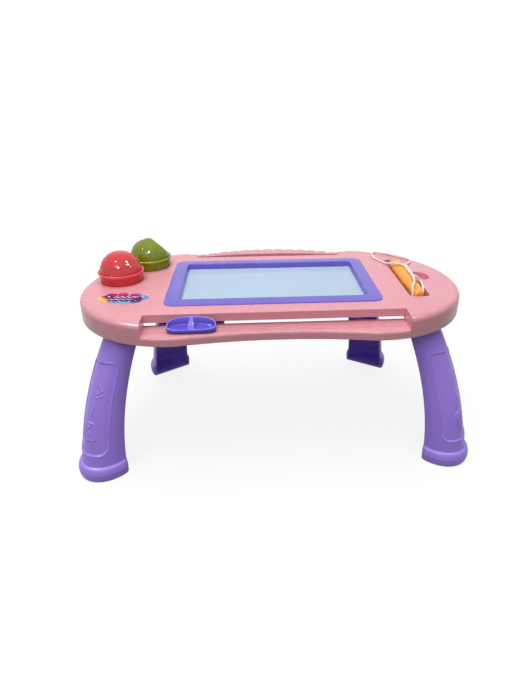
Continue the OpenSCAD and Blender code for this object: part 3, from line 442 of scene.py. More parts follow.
frame_screw_at = [(x, screen_mid[1] + s * 83.65) for x in (-108, -36, 36, 108) for s in (-1, 1)]
frame_screw_at += [(s * 139.15, screen_mid[1]) for s in (-1, 1)]
screen_frame = add_piece("screen_frame_moulding", skin(frame_rings, loop=True),
                         *posts(frame_screw_at, 3.5, 222.4, 229.3), crease=38)
screen_frame.data.materials.append(violet_frame_plastic)
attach(screen_frame, "table")
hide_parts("screen_frame")


# Drawing panel: a honeycomb of small cells filled with milky fluid, sealed between two films. The
# clear film on top is thin polyester; the cells show through it as a fine mesh.
def dress(material, *nodes):
    """Gives a material to CAD nodes that keep their own shape."""
    for node in nodes:
        for place in frame["nodes"][node].material_slots:
            place.material = material


clear_sheet, tree, shader = new_material("clear_film", Alpha=0.22, IOR=1.5, Specular_IOR_Level=0.6)
shader.inputs["Base Color"].default_value = paint(214, 230, 243)
wiped = add_noise(tree, 14, 5, (1, 6, 1), (0, 0, 0.3))
add_surface(tree, shader, (wiped, 0.08, 0.22), (add_noise(tree, 22, 3), 0.0002))
dress(clear_sheet, "clear_film")

# the cells stand in rows, every other row half a cell along, and only their open tops are made
cell_pitch, cell_wall, cell_deep, film_gap = 2.8, 0.34, 0.55, 0.02
core_low, core_high = (1000 * np.array(corner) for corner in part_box("honeycomb_core"))
columns, rows = np.arange(-47, 48), np.arange(-31, 32)
cell_x = columns[None] * cell_pitch + (rows[:, None] % 2) * cell_pitch / 2
cell_y = np.broadcast_to(rows[:, None] * cell_pitch * np.sqrt(3) / 2, cell_x.shape)
inside = (abs(cell_x) < 131) & (abs(cell_y) < 76.5)
cell_mid = np.stack([cell_x[inside], cell_y[inside] + screen_mid[1]], -1)
hexagon = np.radians(30 + 60 * np.arange(6))
cell_r = (cell_pitch - cell_wall) / np.sqrt(3)
rim = cell_mid[:, None] + cell_r * np.stack([np.cos(hexagon), np.sin(hexagon)], -1)[None]
count = len(cell_mid)
cell_points = np.concatenate([np.concatenate([rim, np.full((count, 6, 1), core_high[2] - below)], -1)
                              for below in (cell_deep, film_gap)], 1).reshape(-1, 3)
base = 12 * np.arange(count)[:, None]
ring = np.arange(6)
beside = (ring + 1) % 6
cell_sides = (base[:, :, None] + np.stack([ring, beside, beside + 6, ring + 6], -1)[None]).reshape(-1, 4)
cells = (cell_points, [base + ring[::-1], base + ring + 6, cell_sides])
core_outline = round_corners(*(core_high - core_low)[:2] / 2, 3.5) + screen_mid
plate = skin([level(core_outline, z) for z in (core_low[2], core_high[2] - 0.5)])
panel = add_piece("honeycomb_panel", cells, plate, crease=20)
milky, tree, shader = new_material("milky_cells", IOR=1.4, Specular_IOR_Level=0.4)
pattern = add_noise(tree, 7, 4, (1, 1.6, 1))
smear = add_noise(tree, 20, 4, (9, 0.7, 1))
clouded = add_tones(tree, pattern, paint(196, 218, 235), paint(184, 208, 229))
smeared = add_tones(tree, smear, clouded, paint(214, 228, 240), 0.5, 0.45, 0.8)
connect(tree, *smeared, shader, "Base Color")
add_surface(tree, shader, (pattern, 0.35, 0.5), (smear, 0.00005))
panel.data.materials.append(milky)
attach(panel, "table")
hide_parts("honeycomb_core")
dress(moulded("white_film_sheet", paint(232, 236, 240), paint(220, 226, 232), (0.3, 0.45)), "back_film")


# Screws: steel pan heads with a cross recess, zinc plated, driven upwards from under the table. Ten
# hold the screen frame and three the rear guide.
steel, tree, shader = new_material("zinc_plated_steel", Metallic=1.0)
bright = add_noise(tree, 700, 4, (1, 1, 6))
connect(tree, *add_tones(tree, bright, paint(196, 198, 202), paint(168, 171, 176)), shader, "Base Color")
add_surface(tree, shader, (bright, 0.22, 0.4), (bright, 0.00002))


def driven_screw(x, y):
    """A pan head below the seat whose height falls off with the cube of the radius, less a cross
    that is deepest in the middle, and above it a shank whose radius winds with the thread."""
    seat, length, head_r, head_high, thread_deep, thread_pitch = 218.0, 6.0, 2.7, 1.7, 0.25, 0.9
    turn = np.linspace(0, 2 * np.pi, 40, endpoint=False)[None]
    cos, sin = np.cos(turn), np.sin(turn)
    r = np.array([0.03, 0.3, 0.6, 0.9, 1.15, 1.4, 1.7, 2.0, 2.3, 2.55, 2.68])[:, None]
    arm = np.minimum(abs(r * cos), abs(r * sin))
    cross = np.clip((0.42 - arm) / 0.15, 0, 1) * np.clip((1.6 - r) / 0.3, 0, 1)
    low = seat - head_high + 0.5 * (r / head_r) ** 3 + cross * (0.95 - 0.35 * r)
    z = np.linspace(0, length, 6 * int(length))[:, None]
    thread = 1.0 + thread_deep * (2 * abs((z / thread_pitch - turn / (2 * np.pi)) % 1 - 0.5)) ** 1.5
    thread = thread * np.where(z > length - 1.5, 0.4 + 0.4 * (length - z), 1.0).clip(0.2, 1.0)
    reach = np.concatenate([r + 0 * turn, head_r + 0 * turn, head_r + 0 * turn, thread])
    height = np.concatenate([low, seat - 1.0 + 0 * turn, seat + 0 * turn, seat + z + 0 * turn])
    return skin(np.stack([x + reach * cos, y + reach * sin, height], -1))


frame_screws = add_piece("frame_pan_screws", *[driven_screw(*at) for at in frame_screw_at], crease=50)
frame_screws.data.materials.append(steel)
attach(frame_screws, "table")
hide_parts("frame_screws")
dress(steel, "guide_screws")


# Eraser: a violet finger dish pegged to a flat carriage, which runs in the slot in the ledge and
# passes under the screen with the magnet bar that wipes it.
violet_slider = moulded("violet_slider_plastic", paint(102, 83, 206), paint(90, 71, 193), drift=30)
dish_x, dish_wide, dish_back, floor_z = -105.0, 30.5, -131.8, 213.6
behind_deep, front_deep, rim_z = 14.2, 9.5, 226.1


def dish_plan(inset):
    """The dish from above: half ovals of unlike depth behind and in front of its widest line, squared
    off by raising the cosine and the sine of the turn to powers below one."""
    turn = np.linspace(0, 2 * np.pi, 160, endpoint=False)
    cos, sin = np.cos(turn), np.sin(turn)
    behind = sin > 0
    x = (dish_wide - inset) * np.sign(cos) * abs(cos) ** np.where(behind, 0.88, 0.5)
    y = np.where(behind, (behind_deep - inset) * abs(sin) ** 0.9, (inset - front_deep) * abs(sin) ** 0.62)
    return np.stack([dish_x + x, dish_back - behind_deep + y], -1)


def dish_rim(y):
    """Height of the rim, which falls towards the front at nineteen degrees."""
    return rim_z + (y - dish_back) * np.tan(np.radians(19))


def dish_ring(inset, low=None, below=0.0):
    """A ring of the dish, level at a height or a little below the sloping rim."""
    plan = dish_plan(inset)
    if low:
        return level(plan, low)
    return np.column_stack([plan, dish_rim(dish_plan(0.0)[:, 1]) - below])


dish_rings = [dish_ring(1.0, floor_z), dish_ring(0.3, floor_z + 0.3), dish_ring(0.0, floor_z + 1.0)]
dish_rings += [dish_ring(inset, below=below) for inset, below in
               ((0.0, 0.9), (0.12, 0.45), (0.45, 0.12), (0.9, 0.0), (1.35, 0.12), (1.7, 0.45), (1.85, 1.0))]
dish_rings += [dish_ring(inset, floor_z + up) for inset, up in
               ((2.1, 3.2), (2.7, 2.3), (3.8, 1.85), (6.0, 1.8))]
fin_side = np.array([(-133.0, floor_z + 1.2), (-133.0, 225.2), (-137, 224.6), (-141.3, 223.6),
                     (-142.6, 222.8), (-143.6, 221.4), (-151.2, 216.4), (-153.2, 215.2),
                     (-153.4, floor_z + 1.2)])
fin_mid = fin_side.mean(0)
fin_half = 2.3 + 1.5 * np.clip((-140 - fin_side[:, 0]) / 13, 0, 1) ** 1.2
fin_half = fin_half + 0.5 * np.clip((224 - fin_side[:, 1]) / 10, 0, 1)
fin_rings = [np.column_stack([dish_x + side * fin_half, fin_mid + shrink * (fin_side - fin_mid)])
             for side, shrink in ((-1, 0.93), (-0.86, 1), (0.86, 1), (1, 0.93))]
pegs = posts([(dish_x + s * 13, -143.65) for s in (-1, 1)], 2.0, 211.8, floor_z + 1.5)
dish = add_piece("eraser_finger_dish", skin(dish_rings), skin(fin_rings), *pegs, crease=42)


def paint_pale_highlight(material, source, output, start, end, tone):
    """Paints a highlight: lays a paler tone where a pattern passes from start to end."""
    tree = material.node_tree
    shader = tree.nodes["Principled BSDF"]
    body_tone = (shader.inputs["Base Color"].links[0].from_node, 2)
    highlighted = add_tones(tree, source, body_tone, tone, 1.0, start, end, output)
    connect(tree, *highlighted, shader, "Base Color")


# painted highlight on the rim and the fin's ridge, which are nearest one: a bell curve of the height below
# the rim
places = np.empty(3 * len(dish.data.vertices), np.float32)
dish.data.vertices.foreach_get("co", places)
places = 1000 * places.reshape(-1, 3)
dish_highlight = np.exp(-((places[:, 2] - dish_rim(places[:, 1])) / 0.8) ** 2)
on_fin = (abs(places[:, 0] - dish_x) < 4.6) & (places[:, 2] > floor_z + 2.4) & (places[:, 1] > -153)
dish_highlight = np.maximum(dish_highlight, 0.45 * on_fin)
dish.data.attributes.new("painted_highlight", "FLOAT", "POINT").data.foreach_set("value", dish_highlight.astype(np.float32))
painted_highlight = violet_slider.node_tree.nodes.new("ShaderNodeAttribute")
painted_highlight.attribute_name = "painted_highlight"
paint_pale_highlight(violet_slider, painted_highlight, "Fac", 0.25, 0.9, paint(142, 126, 240))
dish.data.materials.append(violet_slider)
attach(dish, "eraser")
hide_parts("eraser_dish")
violet_carriage = moulded("violet_carriage_plastic", paint(98, 84, 190), paint(84, 70, 172), (0.3, 0.42),
                          drift=24)
dress(violet_carriage, "eraser_carriage")
ferrite, tree, shader = new_material("sintered_ferrite", Specular_IOR_Level=0.4)
crystals = add_noise(tree, 900, 5)
connect(tree, *add_tones(tree, crystals, paint(58, 55, 56), paint(40, 38, 40)), shader, "Base Color")
add_surface(tree, shader, (crystals, 0.5, 0.75), (crystals, 0.00008))
dress(ferrite, "eraser_magnet", "red_stamp_magnet", "green_stamp_magnet")
pink_hidden = moulded("pink_regrind_plastic", paint(226, 158, 168), paint(212, 142, 152), (0.35, 0.5))
dress(pink_hidden, "rear_guide")


# Legs: four violet mouldings, open on their inner side, curved outwards and standing on a thick
# rolled cuff. Each plugs into the table with a tang, and its outer face has a sunk panel with
# small raised sweets.
foot_y, leg_top_z, foot_half, foot_deep, lean_in = 129.0, 204.0, 33.0, 40.5, 59.0
leg_wall, panel_sink, tang_top_z = 2.6, 1.8, 221.6
facing, leaning = np.radians(56.4), np.radians(43.0)
side_way, out_way = np.array((np.sin(facing), -np.cos(facing))), np.array((np.cos(facing), np.sin(facing)))
lean_way = np.array((np.cos(leaning), np.sin(leaning)))


def cuff(z):
    """How far the rolled cuff stands out: half an ellipse, a little fuller in its upper half, which
    passes into the leg as a bell curve."""
    roll_out, roll_z, roll_half, fade_z = 5.0, 9.6, 11.4, 19.5
    roll = roll_out * np.sqrt(np.clip(1 - ((z - roll_z) / roll_half) ** 2, 0, None))
    return roll + 0.5 * np.exp(-(np.clip(z - fade_z, 0, None) / 1.6) ** 2) * (z > roll_z)


def leg_surface(x, z, angle, off):
    """Half an ellipse at each height, which shrinks evenly with the height, its middle leaning
    inwards with the square of it."""
    share = z / leg_top_z
    mid = np.array((x, foot_y)) - lean_in * (share ** 2)[..., None] * lean_way
    half, deep = foot_half - 9 * share + off, foot_deep - 13.5 * share + off
    return np.concatenate([mid + (half * np.cos(angle))[..., None] * side_way
                           + (deep * np.sin(angle))[..., None] * out_way, z[..., None]], -1)


def in_box(u, z, half_u, half_z, r):
    """Signed distance to a round-cornered box about the origin, negative inside: that to the box
    which is smaller by the corner's radius, less the radius."""
    over_u, over_z = abs(u) - half_u + r, abs(z) - half_z + r
    return (np.hypot(np.clip(over_u, 0, None), np.clip(over_z, 0, None))
            + np.minimum(np.maximum(over_u, over_z), 0) - r)


def welt(distance, width):
    """A soft raised line where the distance is small: a bell curve of it."""
    return np.exp(-(distance / width) ** 2)


def stroke(u, z, width, *points):
    """A welt along a chain of straight lines: the distance from each (u, z) is the least of those
    to the lines."""
    reach = []
    for (u0, z0), (u1, z1) in zip(points[:-1], points[1:]):
        along = ((u - u0) * (u1 - u0) + (z - z0) * (z1 - z0)) / ((u1 - u0) ** 2 + (z1 - z0) ** 2)
        along = np.clip(along, 0, 1)
        reach.append(np.hypot(u - u0 - along * (u1 - u0), z - z0 - along * (z1 - z0)))
    return welt(np.min(reach, axis=0), width)


def rise(distance, width=0.45):
    """From one inside a shape to nought outside it: one over one plus e to the distance in widths."""
    return 1 / (1 + np.exp(np.clip(distance / width * 2.2, -40, 40)))


def frozen_bars(u, z):
    """Sweets on one pair of legs: a small lolly, two strokes and a larger bar with a bitten top."""
    lolly = stroke(u, z, 0.8, (-5, 135.5), (-13.2, 126), (-7, 122.5), (-1.6, 128.5), (-5, 135.5))
    grain = 0.8 * stroke(u, z, 0.7, (-6.2, 131), (-8.2, 126.5))
    stick = stroke(u, z, 0.8, (-5, 118), (-15, 121))
    pair = stroke(u, z, 0.8, (-5.3, 106), (-0.5, 95)) + 0.8 * stroke(u, z, 0.7, (-3.6, 97.5), (0.5, 92))
    wide = 6.5 + (85 - z) * 0.3
    block = in_box(u / wide * 10, z - 72.5, 10, 12, 2.5)
    bar = 0.7 * rise(block) + 0.5 * welt(block, 0.8)
    bite = stroke(u, z, 0.9, (5, 82.5), (-3.6, 78.8), (2.0, 72.5))
    return 0.8 * (lolly + grain + stick + pair) + bar - 1.1 * bite


def cornet(u, z):
    """Sweets on the other pair: a dot, two strokes, and a cornet with two scoops."""
    dot = rise(np.hypot(u - 1.5, z - 135) - 1.9)
    pair = stroke(u, z, 0.8, (-6.2, 97.5), (-0.5, 89)) + stroke(u, z, 0.8, (3, 102), (7.5, 92.5))
    wafer = stroke(u, z, 0.8, (-7, 70.5), (3.2, 47.5), (12.5, 70), (-7, 70.5))
    ribs = stroke(u, z, 0.5, (-2, 68.5), (5.5, 53.5)) + stroke(u, z, 0.5, (7.4, 68.5), (0.6, 54.5))
    left, right = np.hypot(u + 2.2, z - 75.2), np.hypot(u - 7, z - 76.5)
    scoops = rise(left - 4.7) + rise(right - 5)
    curls = welt(left - 2, 0.7) + welt(right - 2.2, 0.7)
    return 0.8 * (dot + pair + wafer + 0.5 * ribs) + 0.9 * scoops - 0.6 * curls


def leg(name, x, signs, sweets):
    """The leg as a curved trough: an outer face with its sunk panel and sweets, an inner face one
    wall inside it, webs across the trough, a sole, and the tang on top."""
    z = np.unique(np.concatenate([np.linspace(0, 24, 34), np.linspace(24, leg_top_z, 226)]))[:, None]
    angle = np.radians(np.linspace(0, 180, 150))[None]
    z, angle = np.broadcast_arrays(z, angle)
    u = (np.pi / 2 - angle) * foot_half
    panel = in_box(u, z - 100, 29.5, 61, 13)
    sunk = panel_sink * rise(panel, 0.5) - 0.5 * welt(panel - 1.0, 0.9)
    raised = 1.5 * sweets(u, z) * rise(panel + 2, 0.5)
    # the cuff's roll draws in over the last 6 mm before each edge of the trough
    end = 1 - np.clip(np.minimum(angle, np.pi - angle) * 38 / 6, 0, 1)
    roll = cuff(z) * np.sqrt(np.clip(1 - 0.9 * end ** 2, 0, 1))
    outer = leg_surface(x, z, angle, roll - sunk + raised)
    inner = leg_surface(x, z, angle, np.minimum(cuff(z), roll) * 0.6 - leg_wall - 0.4 * sunk)[:, ::-1]
    rings = np.concatenate([outer, inner], 1)
    points, faces = skin(rings)
    turn = rings.shape[1]
    # each end of the trough is closed by a strip from the outer face to the inner one
    k = np.arange(turn // 2 - 1)
    cap = np.stack([k, k + 1, turn - 2 - k, turn - 1 - k], -1)
    high = cap + (len(rings) - 1) * turn
    flipped = faces[1][0, 0] == 0
    skins = [(points, [faces[0], cap if flipped else cap[:, ::-1], high[:, ::-1] if flipped else high])]
    edge = np.radians(np.linspace(0, 180, 60))
    for low, thick in ((0.0, 3.5), (96.0, leg_wall), (150.0, leg_wall), (leg_top_z - leg_wall, leg_wall)):
        heights = [np.full(len(edge), h) for h in (low, low + thick)]
        skins.append(skin([leg_surface(x, h, edge, cuff(h) * 0.35 - 2.4) for h in heights]))
    mid = np.array((x, foot_y)) - lean_in * lean_way + (0, 13)
    oval = round_corners(10.5, 5, 4.99) + mid
    bore = round_corners(8.5, 3, 2.99) + mid
    eased = oval * 0.97 + mid * 0.03
    skins.append(skin([level(plan, h) for plan, h in
                       ((oval, leg_top_z - 1), (oval, tang_top_z - 0.4), (eased, tang_top_z),
                        (bore, tang_top_z), (bore, leg_top_z + 1))]))
    placed = []
    for points, faces in skins:
        points = points * (signs[0], signs[1], 1)
        placed.append((points, faces if signs[0] * signs[1] > 0 else [f[:, ::-1] for f in faces]))
    piece = add_piece(name + "_moulding", *placed, crease=48)
    piece.data.materials.append(violet_leg)
    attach(piece, "table")
    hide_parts(name)


violet_leg = moulded("violet_leg_plastic", paint(180, 147, 255), paint(170, 136, 246), (0.34, 0.46),
                     0.00006, 0.00001)
leg("leg_front_left", 236.0, (-1, -1), frozen_bars)
leg("leg_front_right", 236.0, (1, -1), cornet)
leg("leg_back_left", 180.0, (-1, 1), cornet)
leg("leg_back_right", 180.0, (1, 1), frozen_bars)


# Stampers: two hollow scoops of glossy polystyrene, each a faceted dome with raised sprinkles, plugged
# into a tapered cup whose rolled rim has a painted highlight, and a shaped magnet in its foot.
def cut_ball(centre, planes):
    """A dome and its inner wall: the distance from the middle in each direction is the soft least
    of the ball's radius and of the distances to the cutting planes, plus a bell curve for each
    sprinkle. It passes into the plain ball low down."""
    ball, sharp, wall, spigot_r = 29.4, 34.0, 1.8, 27.1
    turn = np.linspace(0, 2 * np.pi, 144, endpoint=False)[None]
    cos, sin = np.cos(turn), np.sin(turn)
    tilt = np.radians(np.concatenate([np.linspace(89.7, 84, 5), np.linspace(82, 0, 64)]))[:, None]
    way = np.stack([np.cos(tilt) * cos, np.cos(tilt) * sin, np.sin(tilt) + 0 * turn], -1)
    reach = np.full(way.shape[:2], ball ** -sharp)
    for normal, distance in planes:
        normal = np.array(normal) / np.linalg.norm(normal)
        reach = reach + (np.clip(way @ normal, 0, None) / distance) ** sharp
    r = reach ** (-1 / sharp)
    pips = np.zeros_like(r)
    for azimuth, height, size in sprinkle_at:
        azimuth, height = np.radians(azimuth), np.radians(height)
        spot = np.array((np.cos(height) * np.cos(azimuth), np.cos(height) * np.sin(azimuth), np.sin(height)))
        pips = pips + 0.4 * welt(ball * np.arccos(np.clip(way @ spot, -1, 1)), 1.4 * size)
    hold = np.clip(tilt / np.radians(8), 0, 1)
    r = ball + (r - ball) * hold
    outer = way * (r + pips * hold)[..., None]
    inner = (way * (r - wall)[..., None])[::-1]
    spigot = np.array([(spigot_r, -0.1), (spigot_r, -3.5), (spigot_r - wall, -3.5), (spigot_r - wall, 0.0)])
    ring = np.stack([spigot[:, :1] * cos, spigot[:, :1] * sin, spigot[:, 1:] + 0 * turn], -1)
    return skin(np.concatenate([outer, ring, inner]) + centre)


def in_view(across, up, back=0.0):
    """A direction from how far it points right, up and away for eyes that look down at 26 degrees,
    whose sine and cosine turn up and away into y and z."""
    sine, cosine = 0.44, 0.9
    return (across, sine * up + cosine * back, cosine * up - sine * back)


# each sprinkle's direction in degrees, round from the right and up from level, and its size
sprinkle_at = [(-88, 46, 1.3), (-70, 40, 1.0), (-60, 30, 1.1), (-78, 26, 1.2), (-95, 30, 1.0),
               (-104, 42, 1.2), (-112, 24, 1.1), (-84, 14, 1.0), (-64, 16, 1.1), (-50, 42, 1.0),
               (-100, 58, 1.1), (-72, 56, 1.2), (-125, 36, 1.1), (-46, 22, 1.1), (-10, 35, 1.2),
               (15, 22, 1.0), (30, 45, 1.1), (60, 30, 1.2), (85, 48, 1.0), (100, 25, 1.1),
               (130, 40, 1.2), (150, 20, 1.0), (170, 50, 1.1), (-150, 30, 1.2), (-170, 15, 1.0),
               (-140, 55, 1.0), (-28, 52, 1.2), (45, 62, 1.0), (-20, 12, 1.1), (115, 62, 1.0)]
red_planes = [((0, 0, 1), 28.2), (in_view(-0.62, 0.78), 29.2), (in_view(0.6, 0.8), 29.4),
              (in_view(-0.93, 0.35), 29.3), (in_view(0.93, 0.35), 29.3), (in_view(0.0, 0.55, -0.84), 29.0),
              (in_view(0, 0.5, 0.86), 29.0)]
green_planes = [(in_view(0.651, 0.759), 23.8), (in_view(-0.327, 0.945), 27.2), (in_view(-0.906, 0.423), 28.6),
                (in_view(0.1, 0.62, -0.78), 28.0), (in_view(0.1, 0.5, 0.86), 26.5)]


def narrow_rim(points, centre):
    """Draws the cup's rolled rim in to a slim bead: what lies outside the dome comes closer."""
    dome_r, rim_low_z = 29.9, 235.0
    away = points[:, :2] - centre[:2]
    far = np.hypot(*away.T)
    nearer = (dome_r + 0.66 * (far - dome_r)) / np.maximum(far, 1e-6)
    slim = np.where((far > dome_r) & (points[:, 2] > rim_low_z), nearer, 1.0)
    return np.column_stack([centre[:2] + away * slim[:, None], points[:, 2]])


for colour, centre, planes, light, deep, painted_rim_highlight in (
        ("red", np.array((-216.0, -2.0, 242.1)), red_planes,
         paint(220, 58, 62), paint(206, 46, 54), paint(240, 88, 92)),
        ("green", np.array((-185.0, 60.0, 242.1)), green_planes,
         paint(128, 146, 8), paint(112, 128, 4), paint(150, 168, 26))):
    shiny = moulded(colour + "_polystyrene", light, deep, (0.03, 0.06), 0.00001, 0.000001, drift=30,
                    shine=0.5)
    dome = add_piece(colour + "_scoop", cut_ball(centre, planes), crease=50)
    dome.data.materials.append(shiny)
    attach(dome, colour + "_stamp")
    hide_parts(colour + "_stamp_dome")
    cup_plastic = moulded(colour + "_cup_polystyrene", light, deep, (0.12, 0.22), 0.00003, 0.000002, drift=30)
    # painted highlight: the cup's rolled rim turns paler from 238.5 mm up
    tree = cup_plastic.node_tree
    height = tree.nodes.new("ShaderNodeSeparateXYZ")
    connect(tree, tree.nodes.new("ShaderNodeTexCoord"), "Object", height, 0)
    paint_pale_highlight(cup_plastic, height, "Z", 0.2385, 0.2398, painted_rim_highlight)
    cup = merged_copy(colour + "_stamp_cup", colour + "_cup", crease=30,
                      reshape=lambda points: narrow_rim(points, centre))
    cup.data.materials.append(cup_plastic)


# Pen: an orange barrel with a flat and a thumb notch at its tail, a tapered nose pressed into its
# front end and a small magnet in the tip.
orange = moulded("orange_pen_plastic", paint(252, 174, 66), paint(243, 156, 48), drift=26)
barrel = merged_copy("pen_barrel", "pen_body")
barrel.data.materials.append(orange)
nose = merged_copy("pen_nose", "pen_front_cone")
pale_orange = moulded("pale_orange_plastic", paint(250, 188, 92), paint(242, 172, 72), (0.24, 0.36), drift=26)
nose.data.materials.append(pale_orange)
dress(steel, "pen_magnet")


# Label: a die-cut sticker on the left wing, printed with a many-coloured splash, two squiggles and
# some spots, with nothing written on it.
label_mid, label_turn, label_low_z, label_top_z = np.array((-201.0, -73.0)), np.radians(-7), 228.01, 228.2
label_rounds = np.array([(-24, -2, 9), (-12, -9, 9), (4, -11, 9), (18, -7, 9), (26, 3, 8), (14, 9, 9),
                         (-4, 11, 8), (-18, 8, 8)], float)
# the outline is the farthest that a ray from the middle goes through any of the round lobes
ray = np.linspace(0, 2 * np.pi, 300, endpoint=False)
ray_way = np.stack([np.cos(ray), np.sin(ray)], -1)
along = ray_way @ label_rounds[:, :2].T
miss = label_rounds[:, 2] ** 2 - (label_rounds[:, :2] ** 2).sum(1) + along ** 2
reach = np.where(miss > 0, along + np.sqrt(np.clip(miss, 0, None)), 0).max(1)
share = np.concatenate([[0.004], np.linspace(0.02, 1, 70)])[:, None, None]
flat = share * reach[None, :, None] * ray_way[None]
x, y = flat[..., 0], flat[..., 1]
spin = np.array([[np.cos(label_turn), np.sin(label_turn)], [-np.sin(label_turn), np.cos(label_turn)]])
placed = flat @ spin + label_mid
sheet = [level(ring, label_top_z) for ring in placed] + [level(ring, label_low_z) for ring in placed[::-1]]
label = add_piece("splash_label", skin(sheet), crease=50)


def wash(base, tone, amount):
    """Lays a tone over the colours below it in the share that amount gives."""
    amount = np.clip(amount, 0, 1)[..., None]
    return base * (1 - amount) + np.array(paint(*tone)[:3]) * amount


chalk, straw = (250, 244, 250), (246, 228, 120)
print_colour = np.broadcast_to(paint(74, 16, 86)[:3], (*x.shape, 3)).copy()
wave = 2.2 * np.sin(x / 4.3) + 0.9 * np.sin(x / 1.7 + 1)
for tone, amount in (((168, 34, 112), y - 6.5 - wave),
                     ((214, 62, 138), y - 12.5 - 0.6 * wave),
                     ((56, 128, 196), -y - 10.5 + 0.8 * wave),
                     ((102, 186, 228), -y - 14.5 + 0.8 * wave),
                     ((70, 150, 208), x + 0.5 * y - 26.5 - 0.6 * wave),
                     ((236, 120, 56), -x - 0.8 * y - 25 + 0.8 * wave),
                     ((244, 206, 84), -x - 0.8 * y - 29 + 0.8 * wave)):
    print_colour = wash(print_colour, tone, amount / 0.5)
for middle, swing, start, stop, thick in ((3.6, 1.7, -13, 20, 1.25), (-4.2, 1.3, -19, 14, 0.9)):
    within = thick - abs(y - middle - 0.08 * x - swing * np.sin(x * 0.85 + middle))
    within = np.minimum(within, np.minimum(x - start, stop - x))
    print_colour = wash(print_colour, (52, 8, 64), (within + 0.7) / 0.4)
    print_colour = wash(print_colour, chalk, within / 0.4)
for spot_x, spot_y, r, tone in ((-20, 3.5, 1.8, chalk), (-9.6, 9.0, 1.1, straw), (5.5, 10.5, 1.4, chalk),
                                (12.4, -11.2, 1.3, straw), (24.6, 6.8, 1.2, chalk),
                                (19, -7.6, 1.5, (240, 120, 170)), (-12, -12.6, 1.2, straw),
                                (-1, -11.8, 0.9, chalk)):
    print_colour = wash(print_colour, tone, (r - np.hypot(x - spot_x, y - spot_y)) / 0.25 + 0.5)
every = np.concatenate([print_colour, print_colour[::-1]]).reshape(-1, 3)
inks = label.data.color_attributes.new("inks", "FLOAT_COLOR", "POINT")
inks.data.foreach_set("color", np.column_stack([every, np.ones(len(every))]).astype(np.float32).ravel())
printed, tree, shader = new_material("printed_film", Coat_Weight=0.12, Coat_Roughness=0.1,
                                     Specular_IOR_Level=0.25)
ink = tree.nodes.new("ShaderNodeVertexColor")
ink.layer_name = "inks"
dots = add_noise(tree, 1800, 2)
connect(tree, *add_tones(tree, dots, (ink, "Color"), paint(40, 20, 50), 0.18), shader, "Base Color")
add_surface(tree, shader, (dots, 0.22, 0.34), (add_noise(tree, 60, 2), 0.00012))
label.data.materials.append(printed)
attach(label, "table")
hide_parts("sticker")


# Studio: a pale floor that glows more away from the table, a wide soft box overhead, a weak fill
# from the front, and five small lamps that only show as sparkles in what shines.
floor_mesh = bpy.data.meshes.new("floor")
floor_corners = [(9 * sx, 9 * sy, -0.0003) for sx, sy in ((-1, -1), (1, -1), (1, 1), (-1, 1))]
floor_mesh.from_pydata(floor_corners, [], [(0, 1, 2, 3)])
floor = bpy.data.objects.new("floor", floor_mesh)
scene.collection.objects.link(floor)


def seen_white(tree, plain, shown):
    """Mixes two shaders: plain for light that falls on things, shown for what the camera, mirrors
    and glass see."""
    path = tree.nodes.new("ShaderNodeLightPath")
    seen = (path, "Is Camera Ray")
    for kind in ("Is Glossy Ray", "Is Transmission Ray"):
        either = tree.nodes.new("ShaderNodeMath")
        either.operation = "MAXIMUM"
        connect(tree, *seen, either, 0)
        connect(tree, path, kind, either, 1)
        seen = (either, 0)
    mixer = tree.nodes.new("ShaderNodeMixShader")
    connect(tree, *seen, mixer, 0)
    connect(tree, plain, 0, mixer, 1)
    connect(tree, shown, 0, mixer, 2)
    return mixer


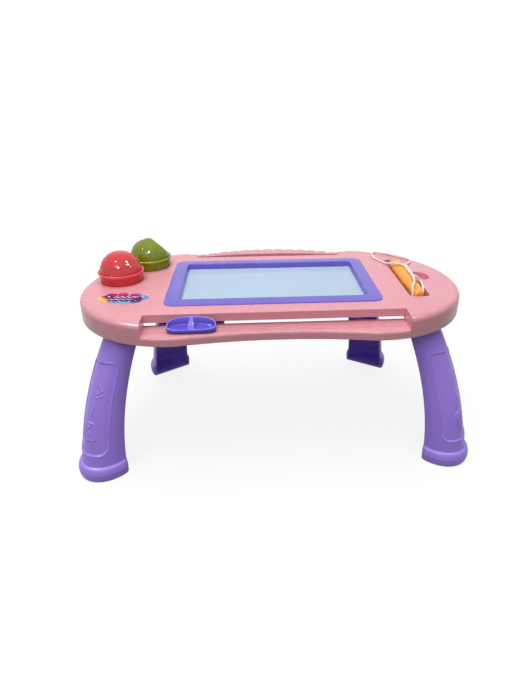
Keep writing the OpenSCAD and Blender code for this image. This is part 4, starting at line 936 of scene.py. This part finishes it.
floor_paint = bpy.data.materials.new("pale_floor")
floor_paint.use_nodes = True
tree = floor_paint.node_tree
tree.nodes.remove(tree.nodes["Principled BSDF"])
matt = tree.nodes.new("ShaderNodeBsdfDiffuse")
matt.inputs["Color"].default_value = (0.14, 0.14, 0.14, 1)
bright_matt = tree.nodes.new("ShaderNodeBsdfDiffuse")
bright_matt.inputs["Color"].default_value = (0.2, 0.2, 0.2, 1)
glow = tree.nodes.new("ShaderNodeEmission")
spread = tree.nodes.new("ShaderNodeVectorMath")
spread.operation = "LENGTH"
connect(tree, tree.nodes.new("ShaderNodeTexCoord"), "Object", spread, 0)
connect(tree, add_range(tree, spread, "Value", 0.84, 1.0, 0.45, 1.3), "Result", glow, "Strength")
both = tree.nodes.new("ShaderNodeAddShader")
connect(tree, bright_matt, 0, both, 0)
connect(tree, glow, 0, both, 1)
connect(tree, seen_white(tree, matt, both), 0, tree.nodes["Material Output"], "Surface")
floor_mesh.materials.append(floor_paint)

world = bpy.data.worlds.new("studio")
world.use_nodes = True
scene.world = world
tree = world.node_tree
ambient = tree.nodes["Background"]
ambient.inputs["Color"].default_value = (1, 1, 1, 1)
ambient.inputs["Strength"].default_value = 0.24
backdrop = tree.nodes.new("ShaderNodeBackground")
backdrop.inputs["Color"].default_value = (1, 1, 1, 1)
connect(tree, seen_white(tree, ambient, backdrop), 0, tree.nodes["World Output"], "Surface")


def add_lamp(name, at, towards, size, power):
    """An oblong soft lamp at one point that faces another."""
    light = bpy.data.lights.new(name, "AREA")
    light.shape = "RECTANGLE"
    light.size, light.size_y = size
    light.energy = power
    lamp = bpy.data.objects.new(name, light)
    lamp.location = at
    away = np.array(at) - np.array(towards)
    lamp.rotation_euler = (np.arctan2(np.hypot(away[0], away[1]), away[2]), 0,
                           np.arctan2(away[0], -away[1]))
    scene.collection.objects.link(lamp)
    return lamp


add_lamp("soft_box", (-0.15, 0.0, 1.9), (0, 0, 0.2), (2.0, 1.4), 29).visible_glossy = False
add_lamp("front_fill", (-0.4, -1.7, 1.7), (0, 0, 0.15), (1.2, 0.8), 13)
for k, (at, wide, power) in enumerate([((-0.82, -0.26, 1.26), 0.24, 20), ((-0.48, -0.93, 0.96), 0.10, 5),
                                       ((0.24, -0.36, 1.30), 0.10, 5), ((0.66, -0.31, 1.01), 0.10, 5),
                                       ((-0.10, -0.62, 1.24), 0.08, 4)]):
    add_lamp("sparkle_%d" % k, at, (-0.21, 0.02, 0.25), (wide, 0.7 * wide), power).visible_diffuse = False
